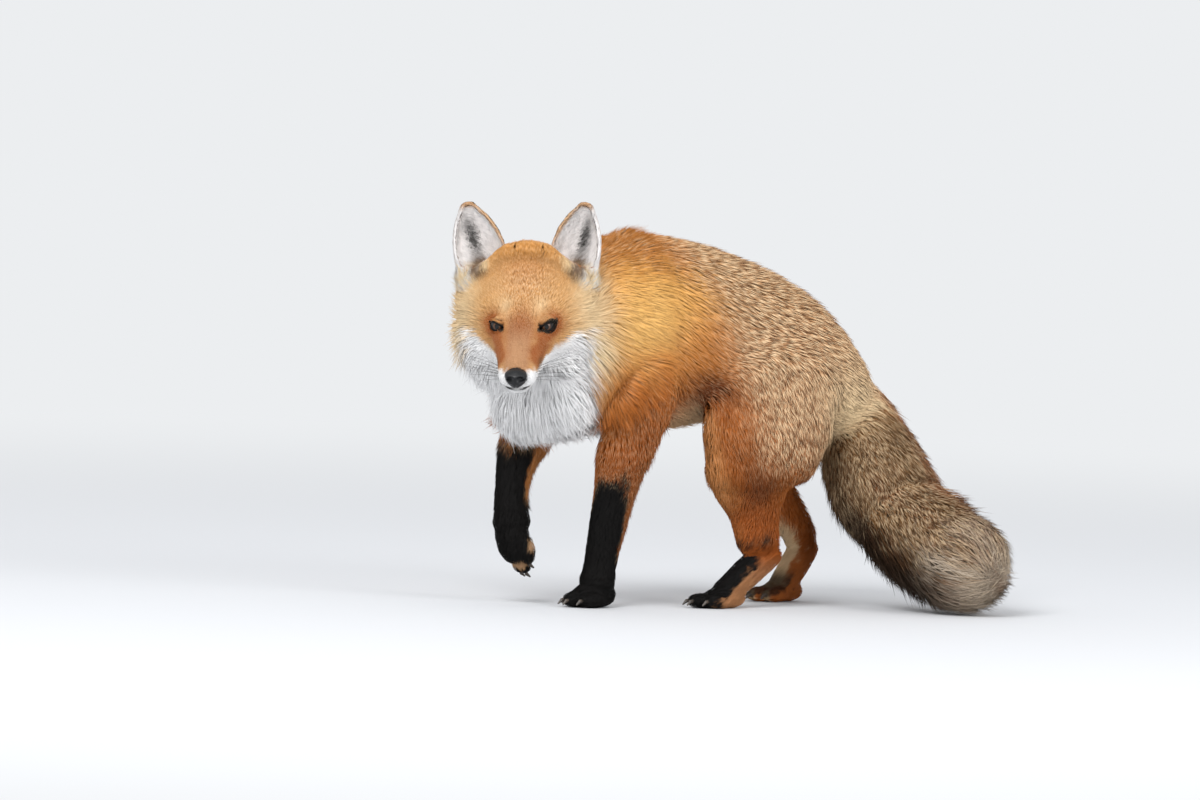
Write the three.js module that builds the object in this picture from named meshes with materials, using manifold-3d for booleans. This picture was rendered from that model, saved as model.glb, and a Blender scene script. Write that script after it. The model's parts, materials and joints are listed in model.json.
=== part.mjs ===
// A life-size red fox in its winter coat, stalking forward with its head turned to its left and its right
// forefoot lifted. Millimetres, +Z up. The fox's body points along -Y, so its left side is +X.
// The flesh is modelled whole, out to the tips of the coat, from lofted forms, and parted by thin cuts.

import * as THREE from "three";
import { LoftGeometry } from "three/addons/geometries/LoftGeometry.js";
import { mergeVertices } from "three/addons/utils/BufferGeometryUtils.js";
import Module from "manifold-3d";

const wasm = await Module();
wasm.setup();

// ---- driving dimensions ---------------------------------------------------------------------------------
const GAP = 0.3; // between pieces that touch
const HEAD_TURN = 54; // degrees, from straight ahead towards the fox's left
const HEAD_NOD = 26; // degrees, nose down
const HEAD_TILT = -2; // degrees, left ear raised
const BETWEEN_EYES = [79, -278, 311]; // the point midway between the eyeballs
const EYE_RADIUS = 9;
const EYE_SPREAD = 26.5; // from the middle of the face to each eyeball's centre
const NOSE_WIDTH = 23;
const NOSE_HEIGHT = 19;
const EAR_HEIGHT = 96;
const EAR_HALF_WIDTH = 30;
const EAR_CUP = 20; // how deep the ear's cup is at its base
const EAR_THICKNESS = 6;
const CLAW_LENGTH = 12;
const CLAW_RADIUS = 1.9;

const UP = new THREE.Vector3(0, 0, 1);
const AHEAD = new THREE.Vector3(0, -1, 0);
const radians = THREE.MathUtils.degToRad;

// ---- materials ------------------------------------------------------------------------------------------
const fur = (name, color) => new THREE.MeshStandardMaterial({ name, color, roughness: 0.85, metalness: 0 });
const redFur = fur("red_fur", 0xc27a3c);
const blackFur = fur("black_fur", 0x17151a);
const greyedFur = fur("tail_fur", 0x9a7b57);
const paleFur = fur("ear_fur", 0xd8d2c6);
const noseSkin = new THREE.MeshStandardMaterial({ name: "nose_skin", color: 0x14161b, roughness: 0.45 });
const eyeGloss = new THREE.MeshStandardMaterial({ name: "eye", color: 0x3a2412, roughness: 0.08 });
const clawHorn = new THREE.MeshStandardMaterial({ name: "claw_horn", color: 0x2a241f, roughness: 0.4 });

// ---- solids ---------------------------------------------------------------------------------------------
function solidOf(geometry) {
  const bare = new THREE.BufferGeometry().setAttribute("position", geometry.getAttribute("position"));
  if (geometry.index) bare.setIndex(geometry.index);
  const merged = mergeVertices(bare, 1e-3);
  return new wasm.Manifold(
    new wasm.Mesh({
      numProp: 3,
      vertProperties: new Float32Array(merged.attributes.position.array),
      triVerts: new Uint32Array(merged.index.array),
    }),
  );
}

function meshOf(name, solid, material) {
  const { numProp, vertProperties, triVerts } = solid.getMesh();
  const position = new Float32Array((vertProperties.length / numProp) * 3);
  for (let i = 0; i < position.length / 3; i++)
    position.set(vertProperties.subarray(i * numProp, i * numProp + 3), i * 3);
  const geometry = new THREE.BufferGeometry()
    .setAttribute("position", new THREE.BufferAttribute(position, 3))
    .setIndex(new THREE.BufferAttribute(triVerts, 1));
  const mesh = new THREE.Mesh(geometry, material);
  mesh.name = name;
  return mesh;
}

const joined = (solids) => solids.reduce((whole, piece) => whole.add(piece));
const without = (solid, cutters) => cutters.reduce((left, cutter) => left.subtract(cutter), solid);

// Trimming can leave slivers beside the piece itself, so only the largest body is kept.
const largest = (solid) =>
  solid.decompose().reduce((best, body) => (body.volume() > best.volume() ? body : best));

// The two halves of a solid either side of a plane through `at`, a gap apart, the one `facing` points to first.
function parted(solid, at, facing) {
  const normal = new THREE.Vector3(...facing).normalize();
  const offset = normal.dot(new THREE.Vector3(...at));
  const ahead = solid.trimByPlane(normal.toArray(), offset + GAP / 2);
  const behind = solid.trimByPlane(normal.clone().negate().toArray(), -offset + GAP / 2);
  return [largest(ahead), largest(behind)];
}

// ---- lofted forms ---------------------------------------------------------------------------------------
// A closed limb or body form. Each station is a place with the section's half width, and its half height on the
// side that `top` points to and on the other side. Domes round off the two ends, and `grow` swells it all.
function loft(form, grow = 0) {
  const { stations, top, around = 14, between = 2, startDome = 10, endDome = 10, square = 1 } = form;
  const domeRings = form.domeRings ?? 2;
  const places = new THREE.CatmullRomCurve3(stations.map((s) => new THREE.Vector3(...s.at)));
  const sizes = new THREE.CatmullRomCurve3(
    stations.map((s) => new THREE.Vector3(s.wide + grow, s.tall + grow, (s.low ?? s.tall) + grow)),
  );
  const rounded = (x) => Math.sign(x) * Math.abs(x) ** square;
  const section = (t, scale, push) => {
    const along = places.getTangent(t);
    const side = new THREE.Vector3().crossVectors(top, along).normalize();
    const rise = new THREE.Vector3().crossVectors(along, side);
    const middle = places.getPoint(t).addScaledVector(along, push);
    const size = sizes.getPoint(t).multiplyScalar(scale);
    return Array.from({ length: around }, (_, k) => {
      const angle = (2 * Math.PI * k) / around;
      const height = Math.sin(angle) > 0 ? size.y : size.z;
      return middle
        .clone()
        .addScaledVector(side, size.x * rounded(Math.cos(angle)))
        .addScaledVector(rise, height * rounded(Math.sin(angle)));
    });
  };
  const dome = (t, length) =>
    Array.from({ length: domeRings }, (_, k) => {
      const angle = ((k + 1) / (domeRings + 0.35)) * (Math.PI / 2);
      return section(t, Math.cos(angle), (length + Math.sign(length) * grow) * Math.sin(angle));
    });
  const rings = (stations.length - 1) * between;
  const sections = [
    ...dome(0, -startDome).reverse(),
    ...Array.from({ length: rings + 1 }, (_, i) => section(i / rings, 1, 0)),
    ...dome(1, endDome),
  ];
  return solidOf(new LoftGeometry(sections, { capStart: true, capEnd: true }));
}

const ellipsoid = (at, radii, around = 10, rings = 6) =>
  solidOf(new THREE.SphereGeometry(1, around, rings).scale(...radii).translate(...at));

// ---- head frame: +X to the head's left, -Y towards the nose, +Z over the crown -------------------------------
const headFrame = new THREE.Matrix4().compose(
  new THREE.Vector3(...BETWEEN_EYES),
  new THREE.Quaternion().setFromEuler(new THREE.Euler(radians(HEAD_NOD), radians(HEAD_TILT), radians(HEAD_TURN), "ZYX")),
  new THREE.Vector3(1, 1, 1),
);
const onHead = (solid) => solid.transform(headFrame.toArray());

// ---- trunk, neck, tail ----------------------------------------------------------------------------------
// Stations run from the rear to the front, for the bib from throat to breast, and for the tail root to tip.
const trunkForm = {
  top: UP,
  around: 18,
  startDome: 18,
  endDome: 30,
  stations: [
    { at: [4, 180, 230], wide: 44, tall: 38, low: 50 },
    { at: [0, 152, 240], wide: 60, tall: 56, low: 64 },
    { at: [-7, 108, 262], wide: 70, tall: 73, low: 72 },
    { at: [-13, 58, 288], wide: 72, tall: 79, low: 84 },
    { at: [-14, 2, 296], wide: 76, tall: 94, low: 99 },
    { at: [-6, -58, 296], wide: 80, tall: 107, low: 106 },
    { at: [4, -106, 296], wide: 76, tall: 108, low: 102 },
    { at: [14, -140, 294], wide: 62, tall: 90, low: 86 },
  ],
};
const neckForm = {
  top: UP,
  around: 16,
  startDome: 14,
  endDome: 20,
  stations: [
    { at: [6, -95, 302], wide: 72, tall: 96, low: 102 },
    { at: [8, -140, 304], wide: 74, tall: 95, low: 112 },
    { at: [14, -180, 312], wide: 74, tall: 86, low: 118 },
    { at: [26, -208, 322], wide: 66, tall: 74, low: 92 },
  ],
};
const bibForm = {
  top: new THREE.Vector3(0.6, -0.8, 0),
  around: 12,
  between: 1,
  startDome: 10,
  endDome: 12,
  stations: [
    { at: [48, -238, 278], wide: 60, tall: 40, low: 50 },
    { at: [26, -224, 236], wide: 63, tall: 38, low: 52 },
    { at: [8, -200, 196], wide: 52, tall: 28, low: 42 },
  ],
};
const tailForm = {
  top: UP,
  around: 14,
  domeRings: 3,
  startDome: 20,
  endDome: 52,
  stations: [
    { at: [3, 164, 236], wide: 26, tall: 26 },
    { at: [0, 192, 214], wide: 40, tall: 38 },
    { at: [10, 199, 172], wide: 54, tall: 52 },
    { at: [40, 204, 128], wide: 60, tall: 57 },
    { at: [98, 218, 81], wide: 60, tall: 58 },
    { at: [156, 241, 54], wide: 58, tall: 58 },
  ],
};

// ---- head (in the head frame) -------------------------------------------------------------------------------
const skullForm = {
  top: UP,
  around: 20,
  between: 1,
  startDome: 18,
  endDome: 8,
  square: 0.92,
  stations: [
    { at: [0, 108, -34], wide: 56, tall: 80, low: 60 },
    { at: [0, 84, -38], wide: 76, tall: 104, low: 74 },
    { at: [0, 56, -44], wide: 87, tall: 116, low: 72 },
    { at: [0, 30, -38], wide: 72, tall: 86, low: 58 },
    { at: [0, 6, -27], wide: 47, tall: 49, low: 42 },
    { at: [0, -10, -24], wide: 34, tall: 34, low: 36 },
    { at: [0, -30, -25], wide: 26, tall: 25, low: 31 },
    { at: [0, -52, -27], wide: 22, tall: 19, low: 26 },
    { at: [0, -73, -29], wide: 18, tall: 14, low: 20 },
  ],
};
const noseForm = (grow = 0) =>
  ellipsoid([0, -80, -23], [NOSE_WIDTH / 2 + grow, 9 + grow, NOSE_HEIGHT / 2 + grow], 12, 8);
const eyeForm = (side, grow = 0) =>
  ellipsoid([side * EYE_SPREAD, -3, 0], [EYE_RADIUS + grow, EYE_RADIUS + grow, EYE_RADIUS + grow], 12, 8);

// An ear is a cup: a tapering form that bulges backwards, hollowed from the front.
function earForm(side, { inset, back, front, from }, grow = 0) {
  const root = [side * 48, 72, 30];
  const tip = [side * 66, 92, 98];
  const station = (t, share) => ({
    at: root.map((x, i) => x + (tip[i] - x) * t),
    wide: EAR_HALF_WIDTH * share - inset,
    tall: Math.max(EAR_CUP * share - back, 1),
    low: front,
  });
  const form = {
    top: new THREE.Vector3(side * 0.35, 1, 0).normalize(),
    around: 10,
    between: 1,
    startDome: 5,
    endDome: EAR_HEIGHT * 0.07 - inset,
    stations: [station(from, 0.96), station(0.25, 1), station(0.5, 0.9), station(0.72, 0.68), station(0.93, 0.34)],
  };
  return loft(form, grow);
}
const earOutside = (side, grow) => earForm(side, { inset: 0, back: 0, front: 4, from: -0.12 }, grow);
const earHollow = (side) => earForm(side, { inset: 2.5, back: EAR_THICKNESS, front: 30, from: 0.06 });

// ---- legs: stations run down the limb, and the section's "top" is its front ---------------------------------
const limb = (stations) => ({ top: AHEAD, around: 10, startDome: 12, endDome: 8, stations });
const legForms = {
  foreleg_left: limb([
    { at: [52, -104, 262], wide: 28, tall: 46, low: 44 },
    { at: [53, -114, 215], wide: 30, tall: 42, low: 38 },
    { at: [46, -126, 172], wide: 23, tall: 36, low: 32 },
    { at: [36, -133, 122], wide: 18, tall: 24, low: 24 },
    { at: [28, -139, 66], wide: 16, tall: 20, low: 20 },
    { at: [25, -144, 26], wide: 16, tall: 18, low: 17 },
  ]),
  foreleg_right: limb([
    { at: [-52, -116, 262], wide: 26, tall: 46, low: 44 },
    { at: [-48, -160, 226], wide: 28, tall: 40, low: 38 },
    { at: [-43, -198, 188], wide: 24, tall: 31, low: 32 },
    { at: [-37, -216, 150], wide: 18, tall: 21, low: 24 },
    { at: [-32, -222, 116], wide: 17, tall: 18, low: 18 },
    { at: [-30, -220, 88], wide: 18, tall: 20, low: 19 },
  ]),
  hindleg_left: limb([
    { at: [46, 105, 262], wide: 26, tall: 52, low: 50 },
    { at: [50, 66, 222], wide: 31, tall: 86, low: 74 },
    { at: [54, 46, 178], wide: 30, tall: 94, low: 70 },
    { at: [54, 34, 144], wide: 24, tall: 68, low: 50 },
    { at: [50, 38, 104], wide: 18, tall: 35, low: 29 },
    { at: [47, 48, 66], wide: 16, tall: 26, low: 20 },
  ]),
  hindleg_right: limb([
    { at: [-46, 120, 262], wide: 26, tall: 50, low: 48 },
    { at: [-46, 100, 220], wide: 31, tall: 66, low: 56 },
    { at: [-50, 90, 176], wide: 27, tall: 62, low: 52 },
    { at: [-49, 108, 132], wide: 20, tall: 36, low: 30 },
    { at: [-45, 142, 88], wide: 16, tall: 22, low: 20 },
    { at: [-43, 154, 64], wide: 15, tall: 20, low: 18 },
  ]),
};

// ---- feet ---------------------------------------------------------------------------------------------------
// A foot's own frame: origin under the ball of the foot, -Y towards the toes, +Z over its back.
const TOES = [
  { across: -1.5, reach: 0.66 },
  { across: -0.5, reach: 1 },
  { across: 0.5, reach: 1 },
  { across: 1.5, reach: 0.66 },
];
const feet = {
  forefoot_left: { ball: [24, -148, -1.2], turn: 0, tip: 0, reach: 32, spread: 10.5, thick: 14 },
  forefoot_right: { ball: [-30, -203, 69], turn: 0, tip: 103, reach: 32, spread: 11.5, thick: 17 },
  hindfoot_left: { ball: [45, 4, -1.2], turn: 0, tip: 0, reach: 41, spread: 9.5, thick: 14, hock: [46, 60, 60] },
  hindfoot_right: { ball: [-42, 128, -1.2], turn: 0, tip: 0, reach: 40, spread: 9.5, thick: 14, hock: [-42, 158, 60] },
};
const footFrame = ({ ball, turn, tip }) =>
  new THREE.Matrix4()
    .compose(
      new THREE.Vector3(...ball),
      new THREE.Quaternion().setFromEuler(new THREE.Euler(radians(tip), 0, radians(turn), "ZYX")),
      new THREE.Vector3(1, 1, 1),
    )
    .toArray();

function footForm(foot) {
  const palm = ellipsoid([0, 2, foot.thick - 1], [foot.spread * 1.8, 25, foot.thick], 8, 5);
  const toes = TOES.map(({ across, reach }) =>
    ellipsoid([across * foot.spread, -foot.reach * reach + 13, 9], [foot.spread * 0.66, 17, 10], 6, 4),
  );
  const pad = joined([palm, ...toes]).transform(footFrame(foot));
  if (!foot.hock) return pad;
  const [x, y, z] = foot.ball;
  const metatarsus = loft({
    top: UP,
    around: 8,
    between: 1,
    startDome: 12,
    endDome: 8,
    stations: [
      { at: foot.hock, wide: 15, tall: 18, low: 16 },
      { at: foot.hock.map((h, i) => (h + [x, y, z + 19][i]) / 2), wide: 15, tall: 18 },
      { at: [x, y, z + 17], wide: 17, tall: 15 },
    ],
  });
  return pad.add(metatarsus);
}

// A claw curves forward and down from under the fur at the toe's tip.
function clawForm(foot, { across, reach }, grow = 0) {
  const x = across * foot.spread;
  const y = -foot.reach * reach;
  const claw = loft(
    {
      top: UP,
      around: 4,
      between: 1,
      domeRings: 0,
      stations: [
        { at: [x, y + 4, 9.5], wide: CLAW_RADIUS, tall: CLAW_RADIUS * 1.2 },
        { at: [x, y - CLAW_LENGTH * 0.3, 8.6], wide: CLAW_RADIUS * 0.8, tall: CLAW_RADIUS * 1.1 },
        { at: [x, y - CLAW_LENGTH * 0.65, 4.6], wide: 0.7, tall: 0.8 },
      ],
    },
    grow,
  );
  return claw.transform(footFrame(foot));
}

// ---- flesh, joined and parted ---------------------------------------------------------------------------------
const SIDES = { left: 1, right: -1 };
const pieces = {};
const add = (name, solid, material) => (pieces[name] = [solid, material]);
const aboveFloor = (solid) => solid.trimByPlane([0, 0, 1], 0);

const headSockets = [noseForm(GAP)];
for (const side of Object.values(SIDES)) headSockets.push(eyeForm(side, GAP), earOutside(side, GAP));
add("head", onHead(largest(without(loft(skullForm), headSockets))), redFur);
add("nose", onHead(noseForm()), noseSkin);
for (const [name, side] of Object.entries(SIDES)) {
  add("ear_" + name, onHead(largest(earOutside(side, 0).subtract(earHollow(side)))), paleFur);
  add("eye_" + name, onHead(eyeForm(side)), eyeGloss);
}

const bodyForm = (grow) => joined([loft(trunkForm, grow), loft(neckForm, grow), loft(bibForm, grow)]);
const headSocket = [loft(skullForm, GAP), earOutside(1, GAP), earOutside(-1, GAP)].map(onHead);
const [neck, trunk] = parted(without(bodyForm(0), headSocket), [10, -128, 296], [0.2, -1, 0.1]);
add("neck", neck, redFur);
add("trunk", trunk, redFur);

const bodyRoom = bodyForm(GAP);
const tail = aboveFloor(largest(loft(tailForm).subtract(bodyRoom)));
const [tailEnd, tailStart] = parted(tail, [60, 209, 114], [0.75, 0.15, -0.65]);
const [tailTip, tailMiddle] = parted(tailEnd, [126, 229, 68], [0.9, 0.25, -0.36]);
add("tail_root", tailStart, greyedFur);
add("tail_middle", tailMiddle, greyedFur);
add("tail_tip", tailTip, greyedFur);

// Where each leg is parted: above the elbow or knee, and above the foot.
const LEG_CUTS = {
  foreleg_left: { foot: "forefoot_left", upper: [44, -124, 168], lower: [26, -142, 36], names: ["arm", "forearm"] },
  foreleg_right: { foot: "forefoot_right", upper: [-41, -184, 172], lower: [-31, -216, 108], names: ["arm", "forearm"] },
  hindleg_left: { foot: "hindfoot_left", upper: [54, 36, 150], lower: [48, 48, 74], names: ["thigh", "shank"] },
  hindleg_right: { foot: "hindfoot_right", upper: [-49, 98, 150], lower: [-44, 148, 80], names: ["thigh", "shank"] },
};
for (const [leg, cut] of Object.entries(LEG_CUTS)) {
  const foot = feet[cut.foot];
  const whole = aboveFloor(
    without(loft(legForms[leg]).add(footForm(foot)), [bodyRoom, ...TOES.map((toe) => clawForm(foot, toe, GAP))]),
  );
  const [upper, rest] = parted(whole, cut.upper, [0, 0, 1]);
  const [lower, end] = parted(rest, cut.lower, [0, 0, 1]);
  const black = leg.startsWith("foreleg") ? blackFur : redFur;
  add(leg + "_" + cut.names[0], upper, redFur);
  add(leg + "_" + cut.names[1], lower, black);
  add(cut.foot, end, blackFur);
  TOES.forEach((toe, i) => add(cut.foot + "_claw_" + (i + 1), aboveFloor(clawForm(foot, toe)), clawHorn));
}

// ---- the fox, centred over the origin of the floor ------------------------------------------------------------
const fox = new THREE.Group();
fox.name = "red_fox";
for (const [name, [solid, material]] of Object.entries(pieces)) fox.add(meshOf(name, solid, material));
const extent = new THREE.Box3().setFromObject(fox);
fox.position.set(-(extent.min.x + extent.max.x) / 2, -(extent.min.y + extent.max.y) / 2, -extent.min.z);

export default fox;
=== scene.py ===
import json
import math

import bpy
import numpy as np
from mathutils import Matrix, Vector
from mathutils.bvhtree import BVHTree

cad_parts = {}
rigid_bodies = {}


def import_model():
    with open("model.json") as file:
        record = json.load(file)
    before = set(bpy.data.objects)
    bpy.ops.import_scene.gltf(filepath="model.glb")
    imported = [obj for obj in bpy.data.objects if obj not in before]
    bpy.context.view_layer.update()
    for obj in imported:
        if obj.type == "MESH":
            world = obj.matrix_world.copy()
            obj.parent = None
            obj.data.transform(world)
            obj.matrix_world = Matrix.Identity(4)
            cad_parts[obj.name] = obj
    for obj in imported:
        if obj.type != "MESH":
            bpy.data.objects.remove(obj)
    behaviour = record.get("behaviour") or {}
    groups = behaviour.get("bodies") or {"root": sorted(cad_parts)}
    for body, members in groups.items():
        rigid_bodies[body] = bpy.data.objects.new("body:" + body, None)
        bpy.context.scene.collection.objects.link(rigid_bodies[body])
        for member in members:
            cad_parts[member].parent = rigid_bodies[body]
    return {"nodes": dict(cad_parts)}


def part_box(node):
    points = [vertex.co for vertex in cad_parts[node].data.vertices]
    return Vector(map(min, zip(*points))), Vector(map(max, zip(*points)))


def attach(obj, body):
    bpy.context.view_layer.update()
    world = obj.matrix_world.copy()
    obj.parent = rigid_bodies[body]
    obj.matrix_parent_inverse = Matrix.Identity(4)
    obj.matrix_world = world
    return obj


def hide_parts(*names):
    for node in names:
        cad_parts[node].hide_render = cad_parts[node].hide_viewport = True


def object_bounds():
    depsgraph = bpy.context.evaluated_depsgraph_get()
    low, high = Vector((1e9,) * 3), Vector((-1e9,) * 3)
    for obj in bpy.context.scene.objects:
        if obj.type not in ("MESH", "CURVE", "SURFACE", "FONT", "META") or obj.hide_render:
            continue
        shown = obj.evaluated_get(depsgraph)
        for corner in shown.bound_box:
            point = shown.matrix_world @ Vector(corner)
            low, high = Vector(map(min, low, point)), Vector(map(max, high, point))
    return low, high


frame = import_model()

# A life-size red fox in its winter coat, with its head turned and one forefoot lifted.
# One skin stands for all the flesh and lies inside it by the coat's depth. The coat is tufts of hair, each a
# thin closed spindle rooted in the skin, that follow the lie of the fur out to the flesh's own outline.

MM = 0.001
CAD_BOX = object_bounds()

# ---- what the fox is made of -------------------------------------------------------------------------------
CLAWS = [node for node in frame["nodes"] if "_claw_" in node]
EYES = ["eye_left", "eye_right"]
FLESH = [node for node in frame["nodes"] if node not in CLAWS + EYES + ["nose"]]
TAIL = ["tail_root", "tail_middle", "tail_tip"]
LEGS = {  # the nodes down each leg, from the body to the foot
    "left_fore": ["foreleg_left_arm", "foreleg_left_forearm", "forefoot_left"],
    "right_fore": ["foreleg_right_arm", "foreleg_right_forearm", "forefoot_right"],
    "left_hind": ["hindleg_left_thigh", "hindleg_left_shank", "hindfoot_left"],
    "right_hind": ["hindleg_right_thigh", "hindleg_right_shank", "hindfoot_right"],
}


# ---- small sums --------------------------------------------------------------------------------------------
def unit(vectors):
    return vectors / np.maximum(np.linalg.norm(vectors, axis=-1, keepdims=True), 1e-9)


def dots(a, b):
    return (a * b).sum(axis=-1)


def rise(values, low, high):
    """0 below low and 1 above high, with a soft step between. With high under low it falls instead."""
    share = np.clip((values - low) / (high - low), 0, 1)
    return share * share * (3 - 2 * share)


def wobble(places, size, seed):
    """A soft unevenness from about -1 to 1, with features about size across."""
    chance = np.random.default_rng(seed)
    total = 0
    for _ in range(6):
        wave = unit(chance.normal(size=3)) * chance.uniform(0.6, 1.5) * math.tau / size
        total = total + np.sin(places @ wave + chance.uniform(0, math.tau))
    return total / 3


def linear(hex_colour):
    """An sRGB colour such as "c08040" as linear red, green and blue."""
    shares = np.array([int(hex_colour[i : i + 2], 16) for i in (0, 2, 4)]) / 255
    return np.where(shares <= 0.04045, shares / 12.92, ((shares + 0.055) / 1.055) ** 2.4)


def middle(node):
    low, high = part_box(node)
    return np.array((low + high) / 2)


def tree_of(node):
    """A CAD node's surface, for asking what is nearest."""
    mesh = frame["nodes"][node].data
    corners = [vertex.co.copy() for vertex in mesh.vertices]
    return BVHTree.FromPolygons(corners, [list(face.vertices) for face in mesh.polygons])


def near_to(tree, places, reach):
    """Which places are within reach of a surface."""
    return np.array([tree.find_nearest(place)[3] < reach for place in places.tolist()])


# ---- the head's own directions -----------------------------------------------------------------------------
NOSE_DROP = math.atan2(23, 77)  # the nose lies 77 mm ahead of the eyes and 23 mm below them
HEAD_LEFT = unit(middle("eye_left") - middle("eye_right"))
BETWEEN_EYES = (middle("eye_left") + middle("eye_right")) / 2


def head_directions():
    """The head's forward and up, square to the line between the eyes."""
    to_nose = middle("nose") - BETWEEN_EYES
    to_nose = unit(to_nose - HEAD_LEFT * dots(to_nose, HEAD_LEFT))
    above_nose = np.cross(to_nose, HEAD_LEFT)
    above_nose = above_nose * np.sign(above_nose[2])
    forward = to_nose * math.cos(NOSE_DROP) + above_nose * math.sin(NOSE_DROP)
    return forward, above_nose * math.cos(NOSE_DROP) - to_nose * math.sin(NOSE_DROP)


HEAD_FORWARD, HEAD_UP = head_directions()
HEAD_AXES = np.array([HEAD_LEFT, HEAD_FORWARD, HEAD_UP])


def on_head(places):
    """Places in the head's own directions, in mm: to its left, forward, and up, from between the eyes."""
    return (places - BETWEEN_EYES) @ HEAD_AXES.T / MM


def from_head(left, forward, up):
    """The place so many mm to the head's left, forward and up from between the eyes."""
    return BETWEEN_EYES + (np.array([left, forward, up]) * MM) @ HEAD_AXES


# ---- the eyes, the nose and the mouth, on the head ---------------------------------------------------------
EYE_RADIUS = 9.0  # mm, as all these sizes are
EYE_SET_BACK, EYE_DROP = 3.5, 4.0  # from the CAD's eyeball, so that the lids come level with the fur
EYE_HALF_WIDTH, EYE_ABOVE, EYE_BELOW = 8.0, 2.5, 3.6  # the opening between the lids
EYE_SLANT = math.radians(17)  # the outer corner is the higher one
NOSE_MIDDLE = (0, 76.5, -25.5)
NOSE_HALF = (11.8, 11, 11)  # half its width, depth and height
MOUTH = [  # half of the line of the lips, from the front of the mouth back to its corner
    (0, 79, -41), (5, 78, -40.4), (9, 75.5, -39.4), (12.5, 71, -38.8), (16, 64, -38.6), (19, 52, -39.5),
    (22, 38, -42.5),
]


def eye_directions(side):
    """Outwards, upwards and straight out of the lids, for the eye on the head's left (1) or right (-1)."""
    look = unit(HEAD_FORWARD * 0.80 + HEAD_LEFT * 0.48 * side + HEAD_UP * 0.33)
    outward = unit(HEAD_LEFT * side - look * dots(HEAD_LEFT * side, look))
    upward = np.cross(look, outward)
    upward = upward * np.sign(dots(upward, HEAD_UP))
    slanted = outward * math.cos(EYE_SLANT) + upward * math.sin(EYE_SLANT)
    return np.array([slanted, upward * math.cos(EYE_SLANT) - outward * math.sin(EYE_SLANT), look])


def eye_centre(side):
    node = "eye_left" if side > 0 else "eye_right"
    return middle(node) - (eye_directions(side)[2] * EYE_SET_BACK + HEAD_UP * EYE_DROP) * MM


def by_the_eye(places, side):
    """Places in an eye's own directions, in mm from the eyeball's centre."""
    return (places - eye_centre(side)) @ eye_directions(side).T / MM


def past_the_lids(places, side):
    """How far outside the opening between the lids each place lies, in mm, seen straight on."""
    across, above, _ = by_the_eye(places, side).T
    half_height = np.where(above > 0, EYE_ABOVE, EYE_BELOW) * (1 - (across / EYE_HALF_WIDTH) ** 2)
    beside = np.hypot(np.abs(across) - EYE_HALF_WIDTH, above)
    return np.where(np.abs(across) < EYE_HALF_WIDTH, np.abs(above) - half_height, beside)


def on_the_rims(places, side, further=0.0):
    """1 on the black rims of the lids, a longer almond than the opening itself, or so many mm further."""
    across, above, out = by_the_eye(places, side).T
    across = across + 1.2
    half_height = np.where(above > 0, EYE_ABOVE + 1.2, EYE_BELOW) + 1.6 + further
    shape = np.abs(above) / half_height + (across / (EYE_HALF_WIDTH + 6.6 + further)) ** 2
    return rise(shape, 1.08, 0.92) * (np.abs(out) < 14)


def from_the_mouth(head):
    """How far each place on the head is from the line of the lips, in mm."""
    folded = np.c_[np.abs(head[:, 0]), head[:, 1:]]
    nearest = np.full(len(head), np.inf)
    for start, end in zip(np.array(MOUTH[:-1], float), np.array(MOUTH[1:], float)):
        share = np.clip((folded - start) @ (end - start) / dots(end - start, end - start), 0, 1)
        nearest = np.minimum(nearest, np.linalg.norm(folded - start - share[:, None] * (end - start), axis=1))
    return nearest


# ---- camera ------------------------------------------------------------------------------------------------
CAMERA_AZIMUTH = math.radians(60)
CAMERA_ELEVATION = math.radians(3)
CAMERA_ROLL = math.radians(2)
CAMERA_DISTANCE = 12.0
SENSOR = 36.0
LENS = 333.3
FOX_OFF_CENTRE = 0.134  # the fox stands this far to the right of the frame's middle


def add_camera():
    toward_camera = Vector((
        math.sin(CAMERA_AZIMUTH) * math.cos(CAMERA_ELEVATION),
        -math.cos(CAMERA_AZIMUTH) * math.cos(CAMERA_ELEVATION),
        math.sin(CAMERA_ELEVATION),
    ))
    frame_right = Vector((math.cos(CAMERA_AZIMUTH), math.sin(CAMERA_AZIMUTH), 0))
    aim = (CAD_BOX[0] + CAD_BOX[1]) / 2 - frame_right * FOX_OFF_CENTRE
    data = bpy.data.cameras.new("long_lens")
    data.sensor_width = SENSOR
    data.lens = LENS
    data.clip_end = 60
    camera = bpy.data.objects.new("camera", data)
    camera.rotation_euler = toward_camera.to_track_quat("Z", "Y").to_euler()
    camera.rotation_euler.rotate_axis("Z", CAMERA_ROLL)
    camera.location = aim + toward_camera * CAMERA_DISTANCE
    bpy.context.collection.objects.link(camera)
    bpy.context.scene.camera = camera


# ---- materials ---------------------------------------------------------------------------------------------
def add_node(tree, kind, links=None, **settings):
    """A shader node with its settings, and its inputs given as values or as other nodes' outputs."""
    made = tree.nodes.new("ShaderNode" + kind)
    for key, value in settings.items():
        setattr(made, key, value)
    for socket, value in (links or {}).items():
        if isinstance(value, bpy.types.NodeSocket):
            tree.links.new(value, made.inputs[socket])
        else:
            made.inputs[socket].default_value = value
    return made


def new_material(name):
    material = bpy.data.materials.new(name)
    material.use_nodes = True
    tree = material.node_tree
    return material, tree, tree.nodes["Principled BSDF"]


def rgba(hex_colour):
    return (*linear(hex_colour), 1)


def set_ramp(ramp_node, stops):
    """Gives a Color Ramp its stops, each a place from 0 to 1 and a colour."""
    stops_held = ramp_node.color_ramp.elements
    while len(stops_held) < len(stops):
        stops_held.new(0.5)
    for held, (place, colour) in zip(stops_held, stops):
        held.position = place
        held.color = colour


def grey(level):
    return (level, level, level, 1)


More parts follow.
